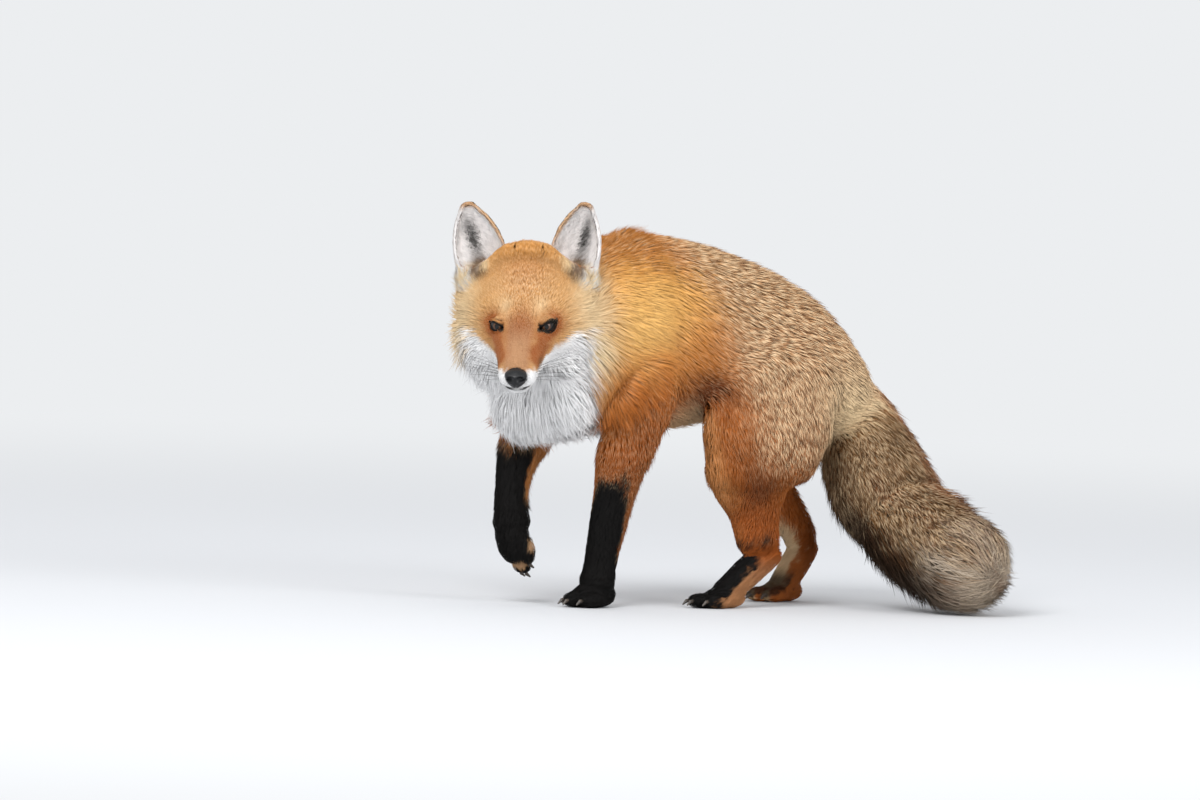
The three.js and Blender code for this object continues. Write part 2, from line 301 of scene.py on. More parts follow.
def fur_material(name, root_shade, pale_band, dark_tip, band_at=0.62):
    """Hair: a matt fibre with a soft sheen, darker at its root where light is lost between hairs. Each hair
    takes the marking of the skin that it grows from, a little lighter or darker than the next, and grizzled
    hairs have a pale band and a dark tip."""
    material, tree, shader = new_material(name)
    marking = add_node(tree, "Attribute", attribute_name="marking").outputs["Color"]
    strand = add_node(tree, "Attribute", attribute_name="strand").outputs["Vector"]
    parts = add_node(tree, "SeparateXYZ", {"Vector": strand}).outputs
    along, chance, grizzle = parts["X"], parts["Y"], parts["Z"]
    spread = add_node(tree, "MapRange", {"Value": chance, "To Min": 0.84, "To Max": 1.12})
    tinted = add_node(tree, "HueSaturation", {"Color": marking, "Value": spread.outputs["Result"]})
    shade = add_node(tree, "ValToRGB", {"Fac": along})
    set_ramp(shade, [(0.0, grey(root_shade)), (0.45, grey(0.94)), (1.0, grey(1.0))])
    shaded = add_node(
        tree, "MixRGB", {"Fac": 1.0, "Color1": tinted.outputs["Color"], "Color2": shade.outputs["Color"]},
        blend_type="MULTIPLY",
    )
    shifted = add_node(tree, "MapRange", {"Value": chance, "To Min": -0.14, "To Max": 0.14})
    place = add_node(tree, "Math", {0: along, 1: shifted.outputs["Result"]}, operation="ADD").outputs["Value"]
    band = add_node(tree, "ValToRGB", {"Fac": place})
    set_ramp(band, [(band_at - 0.2, grey(0)), (band_at, grey(1)), (band_at + 0.2, grey(0))])
    tip = add_node(tree, "ValToRGB", {"Fac": place})
    set_ramp(tip, [(band_at + 0.12, grey(0)), (band_at + 0.3, grey(1))])
    banded = add_node(tree, "Math", {0: band.outputs["Color"], 1: grizzle}, operation="MULTIPLY")
    tipped = add_node(tree, "Math", {0: tip.outputs["Color"], 1: grizzle}, operation="MULTIPLY")
    with_band = add_node(
        tree, "MixRGB",
        {"Fac": banded.outputs["Value"], "Color1": shaded.outputs["Color"], "Color2": rgba(pale_band)},
    )
    with_tip = add_node(
        tree, "MixRGB",
        {"Fac": tipped.outputs["Value"], "Color1": with_band.outputs["Color"], "Color2": rgba(dark_tip)},
    )
    tree.links.new(with_tip.outputs["Color"], shader.inputs["Base Color"])
    shader.inputs["Roughness"].default_value = 0.7
    shader.inputs["Specular IOR Level"].default_value = 0.15
    return material


def skin_material():
    """The skin under the coat: the markings again, as short underfur, and bare black leather on the lids and
    lips."""
    material, tree, shader = new_material("fox_skin")
    marking = add_node(tree, "Attribute", attribute_name="marking").outputs["Color"]
    bare = add_node(tree, "Attribute", attribute_name="bare").outputs["Fac"]
    place = add_node(tree, "TexCoord").outputs["Object"]
    fine = add_node(tree, "TexNoise", {"Vector": place, "Scale": 700.0, "Detail": 3.0})
    shade = add_node(tree, "MapRange", {"Value": fine.outputs["Fac"], "To Min": 0.8, "To Max": 1.0})
    under = add_node(tree, "HueSaturation", {"Color": marking, "Value": shade.outputs["Result"]})
    mixed = add_node(
        tree, "MixRGB", {"Fac": bare, "Color1": under.outputs["Color"], "Color2": rgba("0e0b09")},
    )
    tree.links.new(mixed.outputs["Color"], shader.inputs["Base Color"])
    rough = add_node(tree, "MapRange", {"Value": bare, "To Min": 0.85, "To Max": 0.5})
    tree.links.new(rough.outputs["Result"], shader.inputs["Roughness"])
    shader.inputs["Specular IOR Level"].default_value = 0.15
    bump = add_node(tree, "Bump", {"Height": fine.outputs["Fac"], "Strength": 0.5, "Distance": 0.6 * MM})
    tree.links.new(bump.outputs["Normal"], shader.inputs["Normal"])
    return material


def nose_leather():
    """Wet black leather with a fine pebble, as on a dog's nose: a broken gloss on a near-black skin."""
    material, tree, shader = new_material("nose_leather")
    place = add_node(tree, "TexCoord").outputs["Object"]
    pebbles = add_node(tree, "TexVoronoi", {"Vector": place, "Scale": 1100.0})  # 0.9 mm pebbles
    # Painted shade: the near-black leather is darker still down in the grooves between the pebbles.
    shade = add_node(tree, "ValToRGB", {"Fac": pebbles.outputs["Distance"]})
    set_ramp(shade, [(0.0, rgba("17191d")), (0.7, rgba("0a0b0d"))])
    tree.links.new(shade.outputs["Color"], shader.inputs["Base Color"])
    bump = add_node(
        tree, "Bump", {"Height": pebbles.outputs["Distance"], "Strength": 0.35, "Distance": 0.3 * MM},
        invert=True,
    )
    tree.links.new(bump.outputs["Normal"], shader.inputs["Normal"])
    shader.inputs["Roughness"].default_value = 0.45
    shader.inputs["Specular IOR Level"].default_value = 0.3
    shader.inputs["Coat Weight"].default_value = 0.12
    shader.inputs["Coat Roughness"].default_value = 0.22
    return material


IRIS_HALF, PUPIL_HALF = (7.0, 7.0), (2.4, 3.3)  # half sizes across and up, in mm


def eye_gloss():
    """A fox's eye: amber-brown iris with fine spokes, a dark rim and an upright oval pupil, under a wet clear
    cornea that takes sharp reflections."""
    material, tree, shader = new_material("fox_eye")
    gaze = add_node(tree, "Attribute", attribute_name="gaze").outputs["Vector"]

    def from_middle(half_width, half_height):
        """How far each point is from the middle of the gaze, where 1 is the edge of an oval."""
        shares = (1 / half_width, 1 / half_height, 0)
        flat = add_node(tree, "VectorMath", {0: gaze, 1: shares}, operation="MULTIPLY").outputs["Vector"]
        return add_node(tree, "VectorMath", {0: flat}, operation="LENGTH").outputs["Value"]

    iris = add_node(tree, "ValToRGB", {"Fac": from_middle(*IRIS_HALF)})
    set_ramp(iris, [
        (0.0, rgba("3a2618")), (0.45, rgba("5d3d28")), (0.66, rgba("3b2619")), (0.8, rgba("0e0907")),
        (1.0, rgba("15100d")),
    ])
    spokes = add_node(tree, "TexNoise", {"Vector": gaze, "Scale": 2.2, "Detail": 4.0, "Distortion": 1.5})
    strength = add_node(tree, "MapRange", {"Value": spokes.outputs["Fac"], "To Min": 0.6, "To Max": 1.35})
    fibres = add_node(
        tree, "HueSaturation", {"Color": iris.outputs["Color"], "Value": strength.outputs["Result"]},
    )
    from_pupil = from_middle(*PUPIL_HALF)
    outside = add_node(tree, "MapRange", {"Value": from_pupil, "From Min": 0.9, "From Max": 1.1})
    both = add_node(
        tree, "MixRGB",
        {"Fac": outside.outputs["Result"], "Color1": rgba("050505"), "Color2": fibres.outputs["Color"]},
    )
    tree.links.new(both.outputs["Color"], shader.inputs["Base Color"])
    shader.inputs["Roughness"].default_value = 0.35
    shader.inputs["Specular IOR Level"].default_value = 0.1
    shader.inputs["Coat Weight"].default_value = 0.55
    shader.inputs["Coat Roughness"].default_value = 0.04
    return material


def whisker_hair():
    """A whisker: stiff black hair, smooth enough to catch a line of light, browner in places."""
    material, tree, shader = new_material("whisker_hair")
    place = add_node(tree, "TexCoord").outputs["Object"]
    uneven = add_node(tree, "TexNoise", {"Vector": place, "Scale": 60.0})
    shade = add_node(tree, "ValToRGB", {"Fac": uneven.outputs["Fac"]})
    set_ramp(shade, [(0.3, rgba("14100d")), (0.7, rgba("3a2c22"))])
    tree.links.new(shade.outputs["Color"], shader.inputs["Base Color"])
    shader.inputs["Roughness"].default_value = 0.38
    return material


def horn():
    """Claw horn: dark grey-brown keratin, streaked along the claw and dulled by walking."""
    material, tree, shader = new_material("claw_horn")
    place = add_node(tree, "TexCoord").outputs["Object"]
    stretched = add_node(tree, "Mapping", {"Vector": place, "Scale": (900.0, 120.0, 900.0)})
    streaks = add_node(tree, "TexNoise", {"Vector": stretched.outputs["Vector"], "Scale": 1.0, "Detail": 3.0})
    shade = add_node(tree, "ValToRGB", {"Fac": streaks.outputs["Fac"]})
    set_ramp(shade, [(0.3, rgba("1f1a16")), (0.7, rgba("4d4136"))])
    tree.links.new(shade.outputs["Color"], shader.inputs["Base Color"])
    bump = add_node(tree, "Bump", {"Height": streaks.outputs["Fac"], "Strength": 0.3, "Distance": 0.2 * MM})
    tree.links.new(bump.outputs["Normal"], shader.inputs["Normal"])
    shader.inputs["Roughness"].default_value = 0.45
    return material


# ---- the skin ----------------------------------------------------------------------------------------------
CELL = 3.4 * MM  # the spacing of the grid that the skin is drawn on
CLOSE = 4.5 * CELL  # how near the skin the grid is worked out at every point, and not at every second one
OUTLINE_CELL = 2.2 * MM
DEPTH_STEPS = 90  # how often the coat's depth is evened out, so that it changes gently from node to node
SEAM_CLOSING = 0.5 * MM  # more than the gap between two nodes of flesh
ON_THE_SOCKET = 1.0 * MM  # points of the head this near to an ear are on its socket
IN_THE_SOCKET = 1.6 * MM  # points of an ear's cup this near to the head are at its root
EAR_INSET = 0.3 * MM
EAR_ROOT = 13 * MM  # how much further the ears reach into the head than their nodes do
EAR_COAT_SHARE = 0.93  # the skin of an ear ends this share of the way to the tips of its hair
EARS = ["ear_left", "ear_right"]
PULL_IN, PUSH_OUT = 0.5, 0.53  # the two halves of a step that evens a surface out without shrinking it


def only_selected(*objects):
    bpy.ops.object.select_all(action="DESELECT")
    for one in objects:
        one.select_set(True)
    bpy.context.view_layer.objects.active = objects[0]


def mesh_of(name, places, faces):
    """A piece from arrays: its places, and its faces' corners, all with the same number of them."""
    mesh = bpy.data.meshes.new(name)
    mesh.vertices.add(len(places))
    mesh.vertices.foreach_set("co", np.asarray(places, np.float32).ravel())
    mesh.loops.add(faces.size)
    mesh.loops.foreach_set("vertex_index", faces.astype(np.int32).ravel())
    mesh.polygons.add(len(faces))
    mesh.polygons.foreach_set("loop_start", np.arange(0, faces.size, faces.shape[1], dtype=np.int32))
    mesh.polygons.foreach_set("use_smooth", np.ones(len(faces), bool))
    mesh.update(calc_edges=True)
    piece = bpy.data.objects.new(name, mesh)
    bpy.context.collection.objects.link(piece)
    return piece


def copies_of(nodes):
    """Copies of CAD nodes with their loose triangles merged."""
    copies = []
    for node in nodes:
        copy = frame["nodes"][node].copy()
        copy.data = copy.data.copy()
        copy.parent = None
        bpy.context.collection.objects.link(copy)
        only_selected(copy)
        bpy.ops.object.mode_set(mode="EDIT")
        bpy.ops.mesh.select_all(action="SELECT")
        bpy.ops.mesh.remove_doubles(threshold=0.01 * MM)
        bpy.ops.object.mode_set(mode="OBJECT")
        copies.append(copy)
    return copies


def socket_plug(ear):
    """What fills the hollow that holds an ear's root: the hull of the head's points beside the ear."""
    places = vertex_places(frame["nodes"]["head"].data)
    beside = places[near_to(tree_of(ear), places, ON_THE_SOCKET)]
    mesh = bpy.data.meshes.new("plug")
    mesh.from_pydata(beside.tolist(), [], [])
    plug = bpy.data.objects.new("plug", mesh)
    bpy.context.collection.objects.link(plug)
    only_selected(plug)
    bpy.ops.object.mode_set(mode="EDIT")
    bpy.ops.mesh.select_all(action="SELECT")
    bpy.ops.mesh.convex_hull()
    bpy.ops.object.mode_set(mode="OBJECT")
    return plug


def flesh_outline():
    """One closed surface round all the flesh but the ears: copies of its nodes, fattened until they meet, and
    remeshed. The eyes and nose are in it too, so that it closes over their sockets."""
    solid = [node for node in FLESH if node not in EARS]
    only_selected(*copies_of(solid + EYES + ["nose"]), *[socket_plug(ear) for ear in EARS])
    bpy.ops.object.join()
    outline = bpy.context.active_object
    bpy.ops.object.mode_set(mode="EDIT")
    bpy.ops.mesh.select_all(action="SELECT")
    bpy.ops.transform.shrink_fatten(value=SEAM_CLOSING)
    bpy.ops.object.mode_set(mode="OBJECT")
    remesh = outline.modifiers.new("one_surface", "REMESH")
    remesh.mode = "VOXEL"
    remesh.voxel_size = OUTLINE_CELL
    bpy.ops.object.modifier_apply(modifier=remesh.name)
    return outline


def ear_skin(ear):
    """An ear's thin cup, a little inside its node, and reaching further into the head."""
    cup = copies_of([ear])[0]
    bpy.ops.object.mode_set(mode="EDIT")
    bpy.ops.mesh.select_all(action="SELECT")
    bpy.ops.transform.shrink_fatten(value=-EAR_INSET)
    bpy.ops.object.mode_set(mode="OBJECT")
    places = vertex_places(cup.data)
    rooted = near_to(tree_of("head"), places, IN_THE_SOCKET)
    base = places[rooted].mean(axis=0)
    places = base + (places - base) * EAR_COAT_SHARE
    places[rooted] -= HEAD_UP * EAR_ROOT
    cup.data.vertices.foreach_set("co", places.astype(np.float32).ravel())
    bpy.ops.object.mode_set(mode="EDIT")
    bpy.ops.mesh.select_all(action="SELECT")
    bpy.ops.mesh.subdivide(number_cuts=1)
    bpy.ops.object.mode_set(mode="OBJECT")
    rounding = cup.modifiers.new("rounding", "SUBSURF")
    rounding.levels = rounding.render_levels = 1
    bpy.ops.object.modifier_apply(modifier=rounding.name)
    return cup


def vertex_places(mesh):
    places = np.empty(len(mesh.vertices) * 3, np.float32)
    mesh.vertices.foreach_get("co", places)
    return places.reshape(-1, 3).astype(float)


def finer_where(piece, chosen):
    """Subdivides the faces whose middle chosen() picks."""
    mesh = piece.data
    middles = np.empty(len(mesh.polygons) * 3, np.float32)
    mesh.polygons.foreach_get("center", middles)
    only_selected(piece)
    bpy.ops.object.mode_set(mode="EDIT")
    bpy.ops.mesh.select_mode(type="FACE")
    bpy.ops.mesh.select_all(action="DESELECT")
    bpy.ops.object.mode_set(mode="OBJECT")
    mesh.polygons.foreach_set("select", chosen(middles.reshape(-1, 3).astype(float)))
    bpy.ops.object.mode_set(mode="EDIT")
    bpy.ops.mesh.subdivide(number_cuts=1)
    bpy.ops.object.mode_set(mode="OBJECT")


class Surface:
    """A mesh's places, triangles and edges as arrays, for working on all of its points at once."""

    def __init__(self, mesh):
        self.places = vertex_places(mesh)
        edges = np.empty(len(mesh.edges) * 2, np.int32)
        mesh.edges.foreach_get("vertices", edges)
        edges = edges.reshape(-1, 2)
        self.both_ways = np.concatenate([edges, edges[:, ::-1]])
        self.count = len(self.places)
        self.neighbours = np.maximum(np.bincount(self.both_ways[:, 0], minlength=self.count), 1)
        mesh.calc_loop_triangles()
        self.triangles = np.empty(len(mesh.loop_triangles) * 3, np.int32)
        mesh.loop_triangles.foreach_get("vertices", self.triangles)
        self.triangles = self.triangles.reshape(-1, 3)

    def around(self, values):
        """The mean of each point's neighbours."""
        columns = values.reshape(self.count, -1)
        ends = columns[self.both_ways[:, 1]]
        sums = [np.bincount(self.both_ways[:, 0], ends[:, i], self.count) for i in range(columns.shape[1])]
        return (np.stack(sums, axis=1) / self.neighbours[:, None]).reshape(values.shape)

    def smoothed(self, values, steps):
        for _ in range(steps):
            values = (values + self.around(values)) / 2
        return values

    def relax(self, steps, share):
        """Evens the surface out without shrinking it, by share at each point."""
        share = share[:, None]
        for _ in range(steps):
            self.places = self.places + (self.around(self.places) - self.places) * PULL_IN * share
            self.places = self.places - (self.around(self.places) - self.places) * PUSH_OUT * share

    def fill_hollows(self, steps, share):
        """Fills the creases, by share at each point, without touching what bulges."""
        for _ in range(steps):
            facing = self.normals()
            outwards = np.maximum(dots(self.around(self.places) - self.places, facing), 0) * share
            self.places = self.places + facing * outwards[:, None]

    def normals(self):
        a, b, c = (self.places[self.triangles[:, i]] for i in range(3))
        across = np.cross(b - a, c - a)
        total = np.zeros((self.count, 3))
        for i in range(3):
            for axis in range(3):
                total[:, axis] += np.bincount(self.triangles[:, i], across[:, axis], self.count)
        return unit(total)


def nearest_flesh(places):
    """The name of the node of flesh that each place is nearest to."""
    corners, faces, owners = [], [], []
    for node in FLESH:
        mesh = frame["nodes"][node].data
        start = len(corners)
        corners += [vertex.co.copy() for vertex in mesh.vertices]
        for face in mesh.polygons:
            faces.append([start + i for i in face.vertices])
            owners.append(node)
    tree = BVHTree.FromPolygons(corners, faces)
    return np.array([owners[tree.find_nearest(place)[2]] for place in places.tolist()])


def surface_of_field(field, low, cell):
    """The surface where a field on a grid passes through zero, as places and four-cornered faces that look
    towards its positive side. Each cell that the surface passes through holds one point of it."""
    sizes = [n - 1 for n in field.shape]
    steps = [(i, j, k) for i in (0, 1) for j in (0, 1) for k in (0, 1)]

    def corner(step):
        return field[tuple(slice(step[a], step[a] + sizes[a]) for a in range(3))]

    total, crossings = np.zeros((*sizes, 3)), np.zeros(sizes)
    for axis in range(3):
        for step in (s for s in steps if s[axis] == 0):
            start, end = corner(step), corner(tuple(s + (a == axis) for a, s in enumerate(step)))
            crosses = (start < 0) != (end < 0)
            share = np.where(crosses, start / np.where(crosses, start - end, 1), 0)
            for a in range(3):
                total[..., a] += crosses * (step[a] + (share if a == axis else 0))
            crossings += crosses
    used = crossings > 0
    number = np.full(sizes, -1)
    number[used] = np.arange(used.sum())
    places = low + (np.argwhere(used) + total[used] / crossings[used][:, None]) * cell
    faces = []
    for axis in range(3):
        others = [a for a in range(3) if a != axis]
        start = [slice(1, -1)] * 3
        start[axis] = slice(0, -1)
        end = list(start)
        end[axis] = slice(1, None)
        inside_first = field[tuple(start)] < 0
        crosses = inside_first != (field[tuple(end)] < 0)
        at = np.argwhere(crosses) + np.array([0 if a == axis else 1 for a in range(3)])
        ring = []
        for shift in ((0, 0), (1, 0), (1, 1), (0, 1)):
            cell_of = at.copy()
            cell_of[:, others[0]] -= 1 - shift[0]
            cell_of[:, others[1]] -= 1 - shift[1]
            ring.append(number[tuple(cell_of.T)])
        ring = np.stack(ring, axis=1)
        flip = inside_first[crosses] == (axis == 1)
        ring[flip] = ring[flip][:, ::-1]
        faces.append(ring)
    return places, np.concatenate(faces)


class Inset:
    """The outline of the flesh, and how far under it the skin lies."""

    def __init__(self, outline):
        surface = Surface(outline.data)
        depth = coat_on(surface.places, nearest_flesh(surface.places))[:, 0] * MM
        self.depth = surface.smoothed(depth, DEPTH_STEPS)
        self.corner = surface.triangles[:, 0]
        self.tree = BVHTree.FromPolygons(surface.places.tolist(), surface.triangles.tolist())
        bpy.data.meshes.remove(outline.data)

    def short(self, points):
        """How far each place is short of the depth at which the skin lies: negative inside the skin."""
        hits = [self.tree.find_nearest(point) for point in points.tolist()]
        at, facing = np.array([hit[0] for hit in hits]), np.array([hit[1] for hit in hits])
        away = np.array([hit[3] for hit in hits]) * np.sign(dots(points - at, facing))
        return away + self.depth[self.corner[[hit[2] for hit in hits]]]


def inset_skin(inset):
    """The skin: everywhere as far inside the outline of the flesh as the coat there is deep."""
    low = np.array(CAD_BOX[0]) - 4 * CELL
    shape = (np.ceil((np.array(CAD_BOX[1]) - low) / CELL / 2).astype(int) + 3) * 2
    grid = np.stack(np.meshgrid(*[np.arange(n) for n in shape], indexing="ij"), axis=-1)
    coarse = grid[::2, ::2, ::2]
    rough = inset.short((low + coarse.reshape(-1, 3) * CELL)).reshape(coarse.shape[:3])
    field = rough.repeat(2, axis=0).repeat(2, axis=1).repeat(2, axis=2)
    near = np.abs(field) < CLOSE
    field[near] = inset.short(low + grid[near] * CELL)
    places, faces = surface_of_field(field, low, CELL)
    skin = mesh_of("skin", places, faces)
    only_selected(skin)
    bpy.ops.object.mode_set(mode="EDIT")
    bpy.ops.mesh.select_all(action="DESELECT")
    bpy.ops.object.mode_set(mode="OBJECT")
    skin.data.vertices[int(np.argmax(places[:, 2]))].select = True
    bpy.ops.object.mode_set(mode="EDIT")
    bpy.ops.mesh.select_linked()
    bpy.ops.mesh.select_all(action="INVERT")
    bpy.ops.mesh.delete(type="VERT")  # crumbs that stand apart from the body
    bpy.ops.object.mode_set(mode="OBJECT")
    return skin


def unite(piece, other):
    """Joins another closed surface to a piece, as one shell."""
    union = piece.modifiers.new("union", "BOOLEAN")
    union.operation = "UNION"
    union.solver = "MANIFOLD"
    union.object = other
    only_selected(piece)
    bpy.ops.object.modifier_apply(modifier=union.name)
    bpy.data.meshes.remove(other.data)


# The coat on each node: how deep the skin lies under the coat's outline, how high the hairs stand over the
# skin, their length and width, all in mm, and how far they wander from the lie, in degrees.
COAT = {
    "head": (7.0, 7.0, 13, 0.85, 9),
    "ear": (0.3, 1.6, 8, 0.6, 9),
    "neck": (22.0, 23.0, 36, 1.9, 8),
    "trunk": (14.0, 14.0, 30, 1.5, 10),
    "tail_root": (16.0, 16.0, 34, 1.4, 12),
    "tail_middle": (26.0, 26.0, 40, 1.5, 22),
    "tail_tip": (28.0, 28.0, 34, 1.5, 28),
    "foreleg_left_arm": (8.0, 8.0, 20, 1.15, 10),
    "foreleg_right_arm": (8.0, 8.0, 20, 1.15, 10),
    "foreleg_left_forearm": (3.5, 3.5, 12, 0.9, 9),
    "foreleg_right_forearm": (3.5, 3.5, 12, 0.9, 9),
    "forefoot_right": (2.0, 3.0, 9, 0.75, 11),
    "forefoot": (2.0, 2.0, 7, 0.75, 9),
    "hindleg_left_thigh": (10.0, 10.0, 26, 1.25, 11),
    "hindleg_right_thigh": (10.0, 10.0, 26, 1.25, 11),
    "hindleg_left_shank": (5.0, 5.0, 15, 1.05, 10),
    "hindleg_right_shank": (5.0, 5.0, 15, 1.05, 10),
    "hindfoot": (2.2, 2.2, 8, 0.8, 9),
}


def ear_foot(head):
    """Where the white hair of each ear's cup runs on over the head below it."""
    left, forward, up = head.T
    out = np.abs(left)
    inner = rise(out, 25, 30) * rise(up - (44 - 0.84 * (out - 24)), -3, 3)
    return inner * rise(forward, -46, -54) * rise(out, 78, 70)


def coat_of(node):
    return next(values for start, values in COAT.items() if node.startswith(start))


def cheeks(head):
    """Where the long hair of the cheeks grows."""
    return rise(np.abs(head[:, 0]), 30, 70) * rise(head[:, 1], 0, -40) * rise(head[:, 2], 20, -20)


def crown(head):
    """Where the fine upright hair between the ears grows."""
    return rise(head[:, 2], 42, 60)


def coat_on(places, owner):
    """The coat at each place, in the terms of the table. On the head it goes from the short nap of the muzzle
    to the long hair of the cheeks."""
    coat = np.array([coat_of(node) for node in owner], float)
    head = on_head(places)
    left, forward, up = head.T
    back, cheek = rise(forward, 45, -45), cheeks(head)
    ear_root = spot((np.abs(left), forward, up), (46, -78, 26), (30, 30, 26))
    nearest_eye = np.minimum(past_the_lids(places, 1), past_the_lids(places, -1))
    lids = rise(nearest_eye, 16, 3) * rise(forward, -25, -10)
    lips = rise(np.minimum(from_the_mouth(head), 12 * in_nose_pads(head) - 10), 11, 2)
    throat = rise(up, -44, -60) * rise(forward, 50, 20)
    depth = 2.2 + 4.8 * back + 9 * cheek
    depth = depth + (5.0 - depth) * ear_root
    before_ear = spot((np.abs(left), forward, up), (48, -60, 38), (20, 20, 18))
    lower_cheek = cheek * rise(up, -25, -55)
    length = 4.5 + 8.5 * back + 16 * cheek + 10 * throat + 6 * lower_cheek
    length = length * (1 - 0.5 * lids) * (1 - 0.45 * lips)
    width = 0.55 + 0.35 * back + 0.5 * cheek - 0.08 * lids - 0.22 * crown(head)
    loft = (np.maximum(depth, 5 * ear_root) + 4 * throat) * (1 - 0.65 * lids) * (1 - 0.6 * lips)
    loft = loft * (1 - 0.4 * before_ear)
    wander = np.full(len(places), coat_of("head")[-1])
    of_head = np.stack([depth + 10 * before_ear, loft, length, width, wander], axis=1)
    coat = np.where((owner == "head")[:, None], of_head, coat)
    beard = rise(left, 5, -30) * rise(up, -50, -75) * rise(forward, -80, -40) * (owner == "neck")
    coat[:, 0] -= 9 * beard
    return coat


PASTERNS = (("left_fore", 12, 3.5), ("right_fore", 26, 3.2))  # how far below the foot's top, and how full
PASTERN_REACH = 9.0


def fuller_pasterns(places, owner):
    """How far, in mm, the skin is filled out round the thinnest part of each forefoot, above the paw."""
    height = places[:, 2] / MM
    fuller = np.zeros(len(places))
    for leg, drop, most in PASTERNS:
        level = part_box(LEGS[leg][2])[1][2] / MM - drop
        fuller += np.isin(owner, LEGS[leg][1:]) * most * spot((height,), (level,), (PASTERN_REACH,))
    return fuller


def write_attribute(mesh, name, kind, values):
    made = mesh.attributes.new(name, kind, "POINT")
    field = {"FLOAT": "value", "FLOAT_VECTOR": "vector", "FLOAT_COLOR": "color"}[kind]
    made.data.foreach_set(field, np.asarray(values, np.float32).ravel())


def limb_direction(nodes, which):
    """Which way a limb runs at one of its nodes."""
    places = [middle(node) for node in nodes]
    before, after = places[max(which - 1, 0)], places[min(which + 1, len(nodes) - 1)]
    return unit(after - before)


LIE_STEPS = 30  # how often the lie is evened out, so that it turns gently from one part to the next


def lie_of_coat(surface, owner, normals):
    """Which way the coat lies at each point of the skin."""
    places = surface.places
    lie = np.zeros((surface.count, 3))
    head = on_head(places)
    is_on = {node: owner == node for node in FLESH}

    # From the nose over the face, spreading outwards at the cheeks.
    face = unit(places - from_head(0, 74, -14))
    for side in (1, -1):  # and parting round the eyes
        at = by_the_eye(places, side)
        away = unit(at[:, :2] @ eye_directions(side)[:2])
        face = face + away * (2.5 * np.exp(-np.linalg.norm(at, axis=1) / 9))[:, None]
    falling = rise(head[:, 2], -8, -50) * rise(head[:, 1], 45, 0)
    face = unit(face) - HEAD_UP * (1.3 * falling)[:, None]
    foot = (ear_foot(head) * rise(head[:, 2] - cup_edge(np.abs(head[:, 0])), -9, -1))[:, None]
    over_foot = HEAD_UP * 0.9 + HEAD_LEFT * 0.5 * np.sign(head[:, :1]) - HEAD_FORWARD * 0.3
    face = unit(face) * (1 - foot) + over_foot * foot
    lie[is_on["head"]] = unit(face)[is_on["head"]]
    inside = rise(normals @ HEAD_FORWARD, 0.0, 0.4)[:, None]
    for ear, side in (("ear_left", 1), ("ear_right", -1)):
        up_the_back = unit(HEAD_UP * 0.95 - HEAD_FORWARD * 0.2 + HEAD_LEFT * 0.2 * side)
        over_the_cup = unit(HEAD_UP * 0.5 + HEAD_LEFT * 0.85 * side)
        lie[is_on[ear]] = (up_the_back + (over_the_cup - up_the_back) * inside)[is_on[ear]]
    from_neck = unit(places - from_head(0, -40, -10)) + np.array([0, 0.25, -0.45])
    lie[is_on["neck"]] = from_neck[is_on["neck"]]
    side = np.abs(normals[:, 0])
    back = np.stack([np.zeros(surface.count), np.ones(surface.count), -0.15 - 0.45 * side], axis=1)
    lie[is_on["trunk"]] = back[is_on["trunk"]]
    for nodes in LEGS.values():
        for i, node in enumerate(nodes):
            way = limb_direction(nodes, i)
            if i == 0:
                way = unit(way + np.array([0, 0.45, -0.3]))
            if i == 2 and node.startswith("forefoot_left"):
                way = unit(np.array([0, -1.0, -0.5]))
            if node.startswith("hindfoot"):
                way = unit(np.array([0, -1.0, -0.55]))
            lie[is_on[node]] = way
    for i, node in enumerate(TAIL):
        lie[is_on[node]] = limb_direction(TAIL, i)

    def flat(vectors):
        return unit(vectors - normals * dots(vectors, normals)[:, None])

    lie = flat(unit(lie))
    for _ in range(LIE_STEPS):
        lie = flat((lie + surface.around(lie)) / 2)
    return lie


# ---- markings ----------------------------------------------------------------------------------------------
ORANGE, GOLD, CREAM, RUSSET = linear("cb7d38"), linear("f5be6e"), linear("f9deb0"), linear("a8581c")
AMBER, APRICOT, TAN, SAND = linear("d8923f"), linear("d5a166"), linear("c59a72"), linear("ba8a63")
RUST, BROWN, DARK_BROWN = linear("9b4e19"), linear("894712"), linear("66300c")
WHITE, BLACK, PALE_GREY = linear("fdfcfb"), linear("0d0b0a"), linear("e2e0db")
GREY_BROWN, WHORL_GREY = linear("7f5b37"), linear("c9b9a5")
MIDLINE = middle("trunk")[0] / MM  # across the body, the trunk's middle


def paint(colours, over, share):
    """colours with another laid over it by share."""
    return colours + (over - colours) * np.clip(share, 0, 1)[:, None]


def spot(values, centre, radii):
    """1 at the centre of a soft round patch and 0 well outside it."""
    return np.exp(-sum(((v - c) / r) ** 2 for v, c, r in zip(values, centre, radii)))


